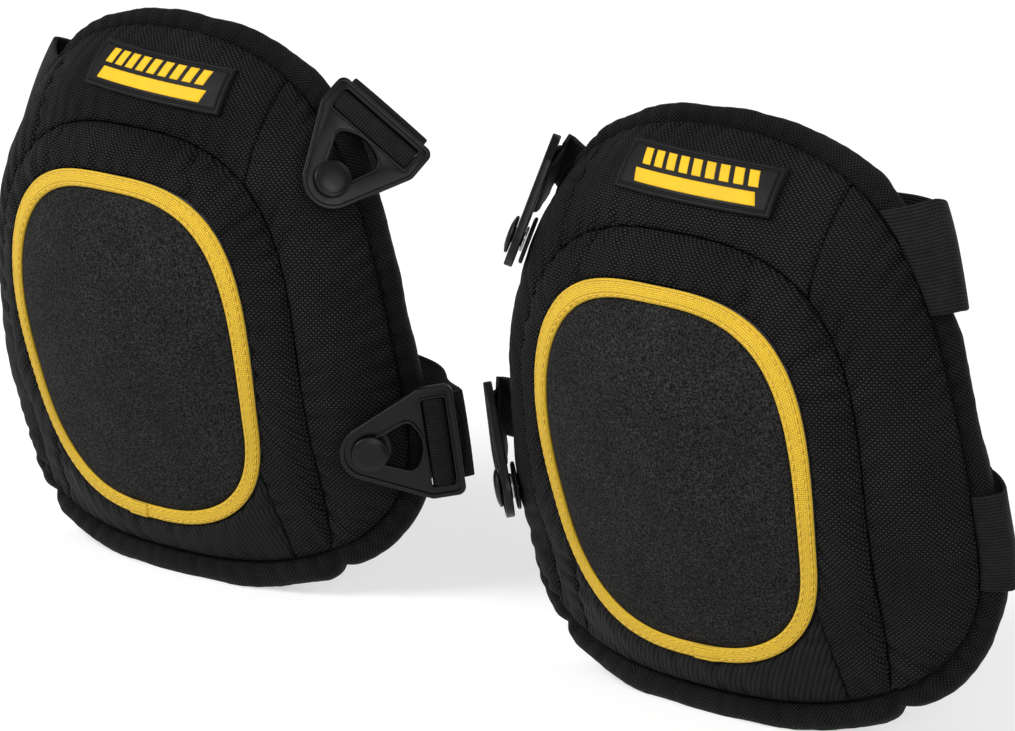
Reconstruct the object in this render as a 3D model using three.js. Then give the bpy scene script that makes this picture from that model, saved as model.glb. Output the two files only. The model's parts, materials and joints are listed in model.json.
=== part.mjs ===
// A pair of soft strap-on knee pads: padded fabric shells with a rubber grip patch,
// elastic straps, and plastic clips that hook over studs on the side of each pad.
import * as THREE from 'three';
import { mergeVertices } from 'three/addons/utils/BufferGeometryUtils.js';

// All lengths are millimetres and all angles degrees.

// Pad pattern, measured along the curved surface from the middle line and the bottom edge
const padHeight = 245;
const padHalfWidth = 128;
const padWaistHeight = 99;
const padTaperShare = -0.11;
const padUpperFullness = 2.24;
const padLowerFullness = 2.71;
const edgeWidth = 10;

// How the pattern is bent round the knee
const curlReach = 100;
const curlAngle = 25.8;
const flareAngle = 10.7;
const curlTopGainShare = 0.41;
const leanAngles = { base: -7.3, slope: 42, bow: 34.3, twist: -32.6 };
const standAngle = 4;

// Raised knee cushion, outlined by the arched seam
const archHalfWidth = 81;
const archWaistHeight = 103;
const archTop = 191.5;
const archFullness = 2.62;
const archRise = 10.5;
const archFadeHeight = 50;
const legTipWidth = 4;

// Grip patch and the tape round it
const patchHalfWidth = 61.7;
const patchWaistHeight = 81.5;
const patchBottom = 25.4;
const patchTop = 172.4;
const patchTaperShare = 0.38;
const patchUpperFullness = 2.87;
const patchLowerFullness = 2.65;
const patchRise = 14;
const patchRiseGain = 3.5;
const patchCrown = 3.5;
const patchPuff = 0.9;
const patchThickness = 2;
const trimWidth = 6.4;
const trimThickness = 2.4;
const trimProud = 0.5;

// Seams between the fabric panels
const dartArchSpan = 58;
const dartRimSpan = 60;
const footSeamPatchSpan = 57.5;
const footSeamRimSpan = 65;

// Layers
const padDepth = 14;
const linerThickness = 1.6;
const fabricThickness = 1.4;
const gelThickness = 4;
const seamRise = 3;
const bandRise = 1;
const coverPuff = 2.6;
const sidePuff = 3;
const puffWidth = 24;
const footFlat = 3;
const clearance = 0.3;

// Label
const labelHalfWidth = 35.2;
const labelHalfHeight = 9.9;
const labelSlant = -0.5;
const labelPlaces = {
  left: { offset: 6.2, tilt: 3.2 },
  right: { offset: 2.8, tilt: 1.5 },
};
const labelHeight = 211.5;
const labelThickness = 2;
const labelSeat = 0.6;
const labelColumnShares = [-1, -0.6, -0.2, 0.2, 0.6, 1];
const labelLineShares = [-1, 0, 1];

// Studs
const studHeadRadius = 7.5;
const studHeadThickness = 2.4;
const studPostRadius = 3;
const studFlangeRadius = 5;
const studFlangeThickness = 0.9;
const studPlateRadius = 9.5;
const studPlateThickness = 1.6;
const studPlateChamfer = 0.5;
const studDomeShares = [0.8, 0.75];
const leftStuds = { upperSpan: 89.5, upperShare: 0.7265, lowerSpan: 103.8, lowerShare: 0.3012 };
const rightStuds = { upperSpan: 89.5, upperShare: 0.7, lowerSpan: 101, lowerShare: 0.3012 };

// Clips. The angle is the turn of each clip on its stud, up from straight back.
const clipThickness = 3.4;
const clipHalfWidth = 24;
const clipBarReach = 36;
const clipEndBarWidth = 3.4;
const clipLoopBarWidth = 3.6;
const clipSlotWidth = 3.1;
const clipShoulderReach = 23;
const clipNoseRadius = 12;
const clipNoseAngle = 115;
const clipCornerRadius = 3.5;
const clipFrameWidth = 4.4;
const keyholeReach = 21.3;
const keyholeShoulderReach = 15.5;
const keyholeShoulderHalf = 6.6;
const keyholeRadius = 3.6;
const keyholeEndAngle = -30;
const clipAngles = {
  left: { upper: 50, lower: 4 },
  right: { upper: 50, lower: 34 },
};

// Straps
const strapWidth = 38;
const strapThickness = 1.8;
const strapLoopReach = 42;
const strapBulge = 2;
const strapBulgeBack = 12;
const strapBulgeDrop = 34;
const strapBulgeGap = 8;
const strapFoldReach = 4;
const strapSquareShare = 0.2;
const strapTurnShare = 0.14;
const strapTurnDepth = 6;
const strapSeatShares = [0.04, 0.5, 1];
const strapTwistShares = [0.2, 0.8];
const strapFoldAngles = [60, 20, -20, -60];
const upperAnchorShare = 0.7755;
const lowerAnchorShare = 0.351;

// The pair. Between the lower studs of both pads there is room for their clips and straps.
const besideLowerStud = 40.2;
const padSpacing = 2 * (Math.max(leftStuds.lowerSpan, rightStuds.lowerSpan) + besideLowerStud);

// How finely the surfaces are divided
const footSectorCount = 3;
const sideSectorCount = 9;
const topSectorCount = 3;
const strapColumnCount = 4;
const strapStepCount = 14;
const latheSideCount = 16;
const arcSideCount = 5;
const turnStepCount = 14;

const radians = THREE.MathUtils.degToRad;
const rightAngle = 90;

// The curved surface

// Sums the cosine and sine of an angle that changes along a line, in equal steps.
function sweep(length, angleAt) {
  let along = 0;
  let across = 0;
  for (let i = 0; i < turnStepCount; i += 1) {
    const angle = angleAt(((i + 0.5) / turnStepCount) * length);
    along += (Math.cos(angle) * length) / turnStepCount;
    across += (Math.sin(angle) * length) / turnStepCount;
  }
  return [along, across];
}

// Height as a share of half the pad, from -1 at the bottom edge to 1 at the top.
function heightShare(height) {
  return (height - padHeight / 2) / (padHeight / 2);
}

function turnAt(span, height) {
  const share = span / curlReach;
  const gain = 1 + curlTopGainShare * heightShare(height);
  return radians(gain * (curlAngle * share + flareAngle * share ** 3));
}

function leanAt(height) {
  const q = heightShare(height);
  const { base, slope, bow, twist } = leanAngles;
  return radians(base + slope * q + bow * q ** 2 + twist * q ** 3);
}

// The point of the pad at a span from the middle line, a height up the pattern and a
// rise out from the face of the border. The whole pad leans back as it stands.
const leanAxis = new THREE.Vector3(-1, 0, 0);

function bentPoint(span, height, rise) {
  const [x, back] = sweep(span, (length) => turnAt(length, height));
  const [up, lean] = sweep(height, leanAt);
  const turn = turnAt(span, height);
  const tilt = leanAt(height);
  const point = new THREE.Vector3(
    x + Math.sin(turn) * Math.cos(tilt) * rise,
    back + lean - Math.cos(turn) * Math.cos(tilt) * rise,
    up + Math.sin(tilt) * rise,
  );
  return point.applyAxisAngle(leanAxis, radians(standAngle));
}

// Outlines on the flat pattern

function outline(halfWidth, waist, bottom, top, lower, upper, taperShare) {
  return { halfWidth, waist, bottom, top, lower, upper, taperShare };
}

function inset(egg, margin) {
  return {
    ...egg,
    halfWidth: egg.halfWidth - margin,
    bottom: egg.bottom + margin,
    top: egg.top - margin,
  };
}

const rimOutline = outline(
  padHalfWidth, padWaistHeight, 0, padHeight, padLowerFullness, padUpperFullness, padTaperShare,
);
const patchOutline = outline(
  patchHalfWidth, patchWaistHeight, patchBottom, patchTop,
  patchLowerFullness, patchUpperFullness, patchTaperShare,
);
const archOutline = outline(archHalfWidth, archWaistHeight, -padHeight, archTop, padHeight, archFullness, 0);
const seamOutline = inset(rimOutline, edgeWidth);
const tapeInnerOutline = inset(patchOutline, trimWidth);

// A superellipse whose halves differ: under 1 inside, over 1 outside.
function eggValue(egg, span, height) {
  const offset = height - egg.waist;
  const width = egg.halfWidth * (1 + egg.taperShare * (offset / padHeight));
  const reach = offset > 0 ? egg.top - egg.waist : egg.waist - egg.bottom;
  const power = offset > 0 ? egg.upper : egg.lower;
  return Math.abs(span / width) ** power + Math.abs(offset / reach) ** power;
}

// Distance from the pattern's centre to an outline at an angle, by halving.
function reachOf(egg, angle) {
  let low = 0;
  let high = padHeight;
  while (high - low > clearance / padHeight) {
    const middle = (low + high) / 2;
    const span = middle * Math.cos(radians(angle));
    const height = padWaistHeight + middle * Math.sin(radians(angle));
    if (eggValue(egg, span, height) < 1) low = middle;
    else high = middle;
  }
  return (low + high) / 2;
}

// The pattern's rings run from its centre outwards.
const [ringCentre, ringPatch, ringTape, ringArch, ringSeam, ringRim] = [0, 1, 2, 3, 4, 5];

function ringReach(ring, angle) {
  if (ring === ringCentre) return 0;
  if (ring === ringPatch) return reachOf(tapeInnerOutline, angle);
  if (ring === ringTape) return reachOf(patchOutline, angle);
  if (ring === ringRim) return reachOf(rimOutline, angle);
  const seam = reachOf(seamOutline, angle);
  return ring === ringSeam ? seam : Math.min(reachOf(archOutline, angle), seam - clearance);
}

// Turns from one angle towards level while the test holds, by halving.
function turnWhile(start, holds) {
  let held = start;
  let past = 0;
  while (Math.abs(held - past) > clearance / padHeight) {
    const middle = (held + past) / 2;
    if (holds(middle)) held = middle;
    else past = middle;
  }
  return (held + past) / 2;
}

// The angle at which a ring stands a given span from the middle line.
function angleAtSpan(ring, span, upper) {
  const short = (angle) => ringReach(ring, angle) * Math.cos(radians(angle)) < span;
  return turnWhile(upper ? rightAngle : -rightAngle, short);
}

// The panels' corners: bottom middle, foot seam, leg of the arch, dart, top middle.
const legWidth = (angle) => ringReach(ringSeam, angle) - ringReach(ringArch, angle);
const legAngle = turnWhile(-rightAngle, (angle) => legWidth(angle) < legTipWidth);
const dartArchAngle = angleAtSpan(ringArch, dartArchSpan, true);
const dartRimAngle = angleAtSpan(ringSeam, dartRimSpan, true);
const footPatchAngle = angleAtSpan(ringTape, footSeamPatchSpan, false);
const footRimAngle = angleAtSpan(ringSeam, footSeamRimSpan, false);
const legPatchAngle = footPatchAngle - footRimAngle + legAngle;
const cornerAngles = [
  [-rightAngle, footPatchAngle, legPatchAngle, dartArchAngle, rightAngle],
  [-rightAngle, footPatchAngle, legPatchAngle, dartArchAngle, rightAngle],
  [-rightAngle, footPatchAngle, legPatchAngle, dartArchAngle, rightAngle],
  [-rightAngle, footRimAngle, legAngle, dartArchAngle, rightAngle],
  [-rightAngle, footRimAngle, legAngle, dartRimAngle, rightAngle],
  [-rightAngle, footRimAngle, legAngle, dartRimAngle, rightAngle],
];
const cornerSectors = [0, footSectorCount, footSectorCount + 1, footSectorCount + 1 + sideSectorCount];
const halfSectors = footSectorCount + 1 + sideSectorCount + topSectorCount;
cornerSectors.push(halfSectors);

// Sectors count from the bottom middle, up the clip side and down the other.
function sectorAngle(ring, sector) {
  const mirrored = sector > halfSectors;
  const place = mirrored ? 2 * halfSectors - sector : sector;
  let corner = 0;
  while (corner < cornerSectors.length - 2 && place > cornerSectors[corner + 1]) corner += 1;
  const share = (place - cornerSectors[corner]) / (cornerSectors[corner + 1] - cornerSectors[corner]);
  const angle = THREE.MathUtils.lerp(cornerAngles[ring][corner], cornerAngles[ring][corner + 1], share);
  return mirrored ? 2 * rightAngle - angle : angle;
}

function ringPoint(ring, grow, sector) {
  const angle = sectorAngle(ring, sector);
  const reach = ring === ringCentre ? 0 : ringReach(ring, angle) + grow;
  return [reach * Math.cos(radians(angle)), padWaistHeight + reach * Math.sin(radians(angle))];
}

// How far the outer fabric stands out at a ring.
const archFootHeight = padWaistHeight + ringReach(ringSeam, legAngle) * Math.sin(radians(legAngle));

function ringRise(ring, height) {
  const lift = THREE.MathUtils.clamp((height - archFootHeight) / archFadeHeight, 0, 1);
  const patch = patchRise + patchRiseGain * heightShare(height);
  if (ring === ringCentre) return patch + patchCrown;
  if (ring === ringPatch || ring === ringTape) return patch;
  if (ring === ringArch) return seamRise + (archRise - seamRise) * lift;
  return ring === ringSeam ? seamRise : bandRise;
}

// What a panel swells by in its middle, between each ring and the next.
const ringPuffs = [patchPuff, 0, coverPuff, sidePuff, 0];

function swell(ring, share, width) {
  return ringPuffs[ring] * (1 - (2 * share - 1) ** 2) * Math.min(1, width / puffWidth);
}

// A row of the pattern: a share of the way from one ring to the next.
function row(ring, share, growInner = 0, growOuter = 0) {
  return { ring, share, growInner, growOuter };
}

function rows(ring, count, growInner = 0, growOuter = 0) {
  return Array.from({ length: count + 1 }, (_, i) => row(ring, i / count, growInner, growOuter));
}

function onRow({ ring, share, growInner, growOuter }, sector) {
  const inner = ringPoint(ring, growInner, sector);
  const outer = ringPoint(ring + 1, growOuter, sector);
  const width = Math.hypot(outer[0] - inner[0], outer[1] - inner[1]);
  const flat = THREE.MathUtils.lerp(ringRise(ring, inner[1]), ringRise(ring + 1, outer[1]), share);
  return {
    span: THREE.MathUtils.lerp(inner[0], outer[0], share),
    height: THREE.MathUtils.lerp(inner[1], outer[1], share),
    rise: flat + swell(ring, share, width),
  };
}

const coreFace = -clearance;
const coreBack = linerThickness + clearance - padDepth;
const linerFace = linerThickness - padDepth;

// The border's section, from its front inner corner down the inner wall and back round
// the outside: a share across from seam to rim, and the rise there.
const bandFrontBulgeShare = 0.09;
const bandBackBulgeShare = 0.06;
const bandOutsideShares = [
  [0, 1], [0.45, 1 + bandBackBulgeShare], [0.86, 0.94], [1, 0.68],
  [1, 0.32], [0.86, 0.06], [0.45, -bandFrontBulgeShare],
];
const bandSection = [
  [0, bandRise],
  [0, coreFace],
  [0, coreBack],
  ...bandOutsideShares.map(([across, deep]) => [across, bandRise - (padDepth + bandRise) * deep]),
];

function bandPoint([across, rise], sector) {
  const { span, height } = onRow(row(ringSeam, across, clearance, 0), sector);
  return bentPoint(span, height, rise);
}

// The foot: the soft border is squashed flat where the pad stands.
const bandBottoms = bandSection.map((corner) => bandPoint(corner, 0).z);
const footLevel = Math.min(...bandBottoms) + footFlat;

function padPoint(span, height, rise) {
  const point = bentPoint(span, height, rise);
  point.z -= footLevel;
  return point;
}

// The outer fabric at any place on the pattern

function skinRise(span, height) {
  const offset = height - padWaistHeight;
  const angle = THREE.MathUtils.radToDeg(Math.atan2(offset, Math.abs(span)));
  const reach = Math.hypot(span, offset);
  let ring = ringPatch;
  while (ring < ringSeam && reach > ringReach(ring, angle)) ring += 1;
  const inner = ringReach(ring - 1, angle);
  const outer = ringReach(ring, angle);
  const share = THREE.MathUtils.clamp((reach - inner) / (outer - inner), 0, 1);
  const heightOf = (distance) => padWaistHeight + distance * Math.sin(radians(angle));
  const low = ringRise(ring - 1, heightOf(inner));
  const high = ringRise(ring, heightOf(outer));
  return THREE.MathUtils.lerp(low, high, share) + swell(ring - 1, share, outer - inner);
}

function skinPoint(span, height, above = 0) {
  return padPoint(span, height, skinRise(span, height) + above);
}

// Closed solids

// Makes one closed, outward body from loose triangles given as corner points.
function bodyOf(triangles, mirrored = false) {
  const positions = [];
  triangles.forEach((corners) => corners.forEach((p) => positions.push(mirrored ? -p.x : p.x, p.y, p.z)));
  const loose = new THREE.BufferGeometry();
  loose.setAttribute('position', new THREE.Float32BufferAttribute(positions, 3));
  const merged = mergeVertices(loose, clearance / 100);
  const index = Array.from(merged.index.array);
  const kept = [];
  let volume = 0;
  const [a, b, c] = [new THREE.Vector3(), new THREE.Vector3(), new THREE.Vector3()];
  for (let i = 0; i < index.length; i += 3) {
    const [i0, i1, i2] = index.slice(i, i + 3);
    if (i0 !== i1 && i1 !== i2 && i2 !== i0) {
      kept.push([i0, i1, i2]);
      a.fromBufferAttribute(merged.attributes.position, i0);
      b.fromBufferAttribute(merged.attributes.position, i1);
      c.fromBufferAttribute(merged.attributes.position, i2);
      volume += a.dot(b.cross(c));
    }
  }
  const ordered = kept.map(([i0, i1, i2]) => (volume < 0 ? [i0, i2, i1] : [i0, i1, i2]));
  merged.setIndex(ordered.flat());
  merged.computeVertexNormals();
  return merged;
}

// Two triangles for each cell of a grid of points.
function cells(grid, closed) {
  const faces = [];
  for (let i = 0; i + 1 < grid.length; i += 1) {
    const across = grid[i].length;
    for (let j = 0; j < (closed ? across : across - 1); j += 1) {
      const k = (j + 1) % across;
      faces.push([grid[i][j], grid[i + 1][j], grid[i + 1][k]]);
      faces.push([grid[i][j], grid[i + 1][k], grid[i][k]]);
    }
  }
  return faces;
}

function turned(faces) {
  return faces.map(([a, b, c]) => [a, c, b]);
}

const lastOf = (list) => list[list.length - 1];

// The end wall between the ends of two sheets: a strip, or a fan from one corner where
// one sheet has more rows than the other.
function endFaces(front, back) {
  if (front.length === back.length) return turned(cells([front, back], false));
  const edge = [...front, ...back.slice(1).reverse()];
  return edge.slice(1).map((point, i) => [edge[i], point, back[0]]);
}

// A body between two sheets of points that share their border.
function sheetBody(front, back, closed, mirrored) {
  const faces = [...cells(front, closed), ...turned(cells(back, closed))];
  faces.push(...turned(cells([front[0], back[0]], closed)));
  faces.push(...cells([lastOf(front), lastOf(back)], closed));
  if (!closed) {
    faces.push(...turned(endFaces(front.map((line) => line[0]), back.map((line) => line[0]))));
    faces.push(...endFaces(front.map(lastOf), back.map(lastOf)));
  }
  return bodyOf(faces, mirrored);
}

// Every sector of the pad, or those from one place to another with a gap at both ends.
const allSectors = Array.from({ length: 2 * halfSectors }, (_, i) => i);
const sectorGapShare = 0.012;

function sectorsBetween(start, end) {
  const inside = [];
  for (let i = start + 1; i < end; i += 1) inside.push(i);
  return [start + sectorGapShare, ...inside, end - sectorGapShare];
}

// The sheet that lies over some rows and sectors at the rise that riseOf gives.
function sheet(lines, sectors, riseOf) {
  return lines.map((line) => sectors.map((sector) => {
    const place = onRow(line, sector);
    return padPoint(place.span, place.height, riseOf(place));
  }));
}

const underSkin = (thickness) => ({ rise }) => rise - thickness;
const atLevel = (level) => () => level;

// Pieces of one pad

const backRows = [
  row(ringCentre, 0), row(ringCentre, 1), row(ringArch, 0), row(ringArch, 1, 0, 0),
];

function liner(mirrored) {
  const front = sheet(backRows, allSectors, atLevel(linerFace));
  const back = sheet(backRows, allSectors, atLevel(-padDepth));
  return sheetBody(front, back, true, mirrored);
}

// The base foam has a pocket in its back for the gel.
function foamCore(mirrored) {
  const front = sheet(backRows, allSectors, atLevel(coreFace));
  const pocketLevel = atLevel(coreBack + gelThickness + clearance);
  const pocket = sheet([row(ringCentre, 0), row(ringCentre, 1)], allSectors, pocketLevel);
  const aroundRows = [row(ringPatch, 0), row(ringArch, 0), row(ringArch, 1)];
  const around = sheet(aroundRows, allSectors, atLevel(coreBack));
  return sheetBody(front, [...pocket, ...around], true, mirrored);
}

function gelInsert(mirrored) {
  const lines = [row(ringCentre, 0), row(ringCentre, 1, 0, -clearance)];
  const front = sheet(lines, allSectors, atLevel(coreBack + gelThickness));
  const back = sheet(lines, allSectors, atLevel(coreBack));
  return sheetBody(front, back, true, mirrored);
}

const cushionLift = Math.max(patchThickness, trimThickness - trimProud) + clearance;

function cushionFoam(mirrored) {
  const top = [...rows(ringCentre, 2), row(ringTape, 0), ...rows(ringTape, 2, 0, -clearance).slice(1)];
  const bottom = [row(ringCentre, 0), row(ringCentre, 1), row(ringTape, 1, 0, -clearance)];
  const front = sheet(top, allSectors, underSkin(cushionLift));
  const back = sheet(bottom, allSectors, atLevel(0));
  return sheetBody(front, back, true, mirrored);
}

function gripPatch(mirrored) {
  const lines = rows(ringCentre, 2, 0, 0);
  const front = sheet(lines, allSectors, underSkin(0));
  const back = sheet(lines, allSectors, underSkin(patchThickness));
  return sheetBody(front, back, true, mirrored);
}

function patchTrim(mirrored) {
  const lines = rows(ringPatch, 1, clearance, 0);
  const front = sheet(lines, allSectors, underSkin(-trimProud));
  const back = sheet(lines, allSectors, underSkin(trimThickness - trimProud));
  return sheetBody(front, back, true, mirrored);
}

// The panels between two rings, over some of the sectors.
function panel(lines, start, end, mirrored) {
  const sectors = sectorsBetween(start, end);
  const front = sheet(lines, sectors, underSkin(0));
  const back = sheet(lines, sectors, underSkin(fabricThickness));
  return sheetBody(front, back, false, mirrored);
}

const coverRows = rows(ringTape, 2, clearance, -clearance);
const sideRows = rows(ringArch, 3);
const [, footCorner, legCorner, dartCorner, topCorner] = cornerSectors;
const fullTurn = 2 * halfSectors;

function surroundFoam(mirrored) {
  const sectors = sectorsBetween(legCorner, fullTurn - legCorner);
  const front = sheet(sideRows, sectors, underSkin(fabricThickness + clearance));
  const back = sheet([row(ringArch, 0), row(ringArch, 1)], sectors, atLevel(0));
  return sheetBody(front, back, false, mirrored);
}

function edgeBand(mirrored) {
  const loop = [...bandSection, bandSection[0]];
  const grid = loop.map((corner) => allSectors.map((sector) => {
    const point = bandPoint(corner, sector);
    point.z = Math.max(point.z - footLevel, 0);
    return point;
  }));
  return bodyOf(cells(grid, true), mirrored);
}

// The label leans over by its tilt, the same way on both pads.
function label(mirrored) {
  const hand = mirrored ? -1 : 1;
  const { offset, tilt } = mirrored ? labelPlaces.right : labelPlaces.left;
  const fall = hand * labelHalfWidth * Math.tan(radians(tilt));
  const at = (above) => labelLineShares.map((v) => labelColumnShares.map((u) => skinPoint(
    hand * (offset + v * labelSlant) + u * labelHalfWidth,
    labelHeight + v * labelHalfHeight - u * fall,
    above,
  )));
  return sheetBody(at(labelSeat + labelThickness), at(labelSeat), false, mirrored);
}

// Where a stud stands: its foot, the way out of the pad, and the way the clip points.
function studFrame({ span, height }, clipAngle) {
  const step = clearance;
  const foot = skinPoint(span, height);
  const across = skinPoint(span + step, height).sub(skinPoint(span - step, height));
  const upward = skinPoint(span, height + step).sub(skinPoint(span, height - step));
  const out = new THREE.Vector3().crossVectors(across, upward).normalize();
  const level = across.normalize();
  const rise = new THREE.Vector3().crossVectors(out, level);
  const pointing = level.clone().multiplyScalar(Math.cos(radians(clipAngle)));
  pointing.addScaledVector(rise, Math.sin(radians(clipAngle)));
  return { foot: foot.addScaledVector(out, clearance), out, pointing };
}

// Heights above the stud's foot
const studBase = studPlateThickness + clearance;
const clipBase = studBase + studFlangeThickness + clearance;
const headBase = clipBase + clipThickness + clearance;
const studTop = headBase + studHeadThickness;

function studPlate() {
  return new THREE.LatheGeometry([
    new THREE.Vector2(0, 0),
    new THREE.Vector2(studPlateRadius, 0),
    new THREE.Vector2(studPlateRadius, studPlateThickness - studPlateChamfer),
    new THREE.Vector2(studPlateRadius - studPlateChamfer, studPlateThickness),
    new THREE.Vector2(0, studPlateThickness),
  ], latheSideCount).rotateX(radians(rightAngle));
}

function stud() {
  const [domeAcross, domeUp] = studDomeShares;
  return new THREE.LatheGeometry([
    new THREE.Vector2(0, studBase),
    new THREE.Vector2(studFlangeRadius, studBase),
    new THREE.Vector2(studFlangeRadius, studBase + studFlangeThickness),
    new THREE.Vector2(studPostRadius, studBase + studFlangeThickness),
    new THREE.Vector2(studPostRadius, headBase),
    new THREE.Vector2(studHeadRadius, headBase),
    new THREE.Vector2(studHeadRadius, headBase + studHeadThickness / 2),
    new THREE.Vector2(studHeadRadius * domeAcross, headBase + studHeadThickness * domeUp),
    new THREE.Vector2(0, studTop),
  ], latheSideCount).rotateX(radians(rightAngle));
}

// The keyhole: a rounded triangle from the stud to a bulging end, wide enough there for
// the head of the stud.
function keyhole() {
  const hole = new THREE.Path();
  const flank = Math.atan2(keyholeShoulderHalf, keyholeShoulderReach);
  const side = radians(rightAngle) + flank;
  const end = radians(keyholeEndAngle);
  const endX = keyholeShoulderReach + keyholeRadius * Math.cos(end);
  const endY = keyholeShoulderHalf - keyholeRadius * Math.sin(end);
  hole.absarc(0, 0, keyholeRadius, side, -side, false);
  hole.absarc(keyholeShoulderReach, -keyholeShoulderHalf, keyholeRadius, -side, end, false);
  hole.quadraticCurveTo(2 * keyholeReach - endX, 0, endX, endY);
  hole.absarc(keyholeShoulderReach, keyholeShoulderHalf, keyholeRadius, -end, side, false);
  hole.closePath();
  return hole;
}

// A plate like a blunt arrowhead. The stud stands at its nose, in the small end of a
// keyhole. At its wide end two slots leave a bar between them for the strap's loop.
const clipEndSlot = clipBarReach - clipEndBarWidth - clipSlotWidth;
const loopBarStart = clipEndSlot - clipLoopBarWidth;

function clip() {
  const corner = clipBarReach - clipCornerRadius;
  const shape = new THREE.Shape();
  shape.absarc(0, 0, clipNoseRadius, radians(clipNoseAngle), radians(-clipNoseAngle), false);
  shape.lineTo(clipShoulderReach, -clipHalfWidth);
  shape.lineTo(corner, -clipHalfWidth);
  shape.absarc(corner, clipCornerRadius - clipHalfWidth, clipCornerRadius, -radians(rightAngle), 0, false);
  shape.absarc(corner, clipHalfWidth - clipCornerRadius, clipCornerRadius, 0, radians(rightAngle), false);
  shape.lineTo(clipShoulderReach, clipHalfWidth);
  shape.closePath();
  shape.holes.push(keyhole());
  const addSlot = (slotStart, half) => {
    const slot = new THREE.Path();
    slot.moveTo(slotStart, -half);
    slot.lineTo(slotStart + clipSlotWidth, -half);
    slot.lineTo(slotStart + clipSlotWidth, half);
    slot.lineTo(slotStart, half);
    slot.closePath();
    shape.holes.push(slot);
  };
  const slotHalf = clipHalfWidth - clipFrameWidth;
  addSlot(loopBarStart - clipSlotWidth, slotHalf - clearance);
  addSlot(clipEndSlot, slotHalf);
  const plate = { depth: clipThickness, bevelEnabled: false, curveSegments: arcSideCount };
  return new THREE.ExtrudeGeometry(shape, plate).translate(0, 0, clipBase);
}

// The strap's sewn end: a loop round the bar between the slots. Its tail leaves under the
// end bar and is cut round, so that it turns on the stud beside the rest of the strap.
const loopLevel = clipBase + clipThickness / 2;
const tailTop = -clipThickness / 2 - clearance;
const tailLevel = tailTop - strapThickness;

function strapLoop() {
  const innerTop = clipThickness / 2 + clearance;
  const outerTop = innerTop + strapThickness;
  const innerBottom = tailTop - clearance;
  const outerBottom = innerBottom - strapThickness;
  const innerStart = loopBarStart - clearance;
  const outerStart = innerStart - strapThickness;
  const innerEnd = clipEndSlot + clearance;
  const outerEnd = innerEnd + strapThickness;
  const section = (end) => [
    [[outerStart, innerBottom], [innerStart, innerBottom]],
    [[outerStart, innerTop], [innerStart, innerTop]],
    [[innerStart, outerTop], [innerStart, innerTop]],
    [[innerEnd, outerTop], [innerEnd, innerTop]],
    [[outerEnd, innerTop], [innerEnd, innerTop]],
    [[outerEnd, tailTop], [innerEnd, innerBottom]],
    [[end, tailTop], [innerEnd, innerBottom]],
    [[end, tailLevel - strapThickness], [innerEnd, innerBottom]],
    [[innerStart, outerBottom], [innerStart, innerBottom]],
  ];
  const sides = strapStations.map((across) => {
    const end = Math.sqrt(strapLoopReach ** 2 - across ** 2);
    return section(end).map((pair) => pair.map(([x, z]) => new THREE.Vector3(x, across, z + loopLevel)));
  });
  const outer = sides.map((side) => side.map((pair) => pair[0]));
  const inner = sides.map((side) => side.map((pair) => pair[1]));
  return sheetBody(outer, inner, true, false);
}

const strapStations = Array.from(
  { length: strapColumnCount + 1 },
  (_, i) => (i / strapColumnCount - 0.5) * strapWidth,
);

// Turns a middle surface of points into a ribbon of the strap's thickness.
function ribbon(grid, mirrored) {
  const near = (list, i) => list[THREE.MathUtils.clamp(i, 0, list.length - 1)];
  const moved = (amount) => grid.map((line, i) => line.map((point, j) => {
    const along = near(grid, i + 1)[j].clone().sub(near(grid, i - 1)[j]);
    const across = near(line, j + 1).clone().sub(near(line, j - 1));
    return point.clone().addScaledVector(along.cross(across).normalize(), amount);
  }));
  return sheetBody(moved(strapThickness / 2), moved(-strapThickness / 2), false, mirrored);
}

// The span of an outline at a height on the pattern, by halving.
function spanAtHeight(egg, height) {
  let low = 0;
  let high = padHeight;
  while (high - low > clearance / padHeight) {
    const middle = (low + high) / 2;
    if (eggValue(egg, middle, height) < 1) low = middle;
    else high = middle;
  }
  return low;
}

// The ellipse in which a strap folds round the border, from its front to its back
const borderFront = bandRise + (padDepth + bandRise) * bandFrontBulgeShare + clearance + strapThickness / 2;
const borderBack = -padDepth - (padDepth + bandRise) * bandBackBulgeShare - clearance - strapThickness / 2;

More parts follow.
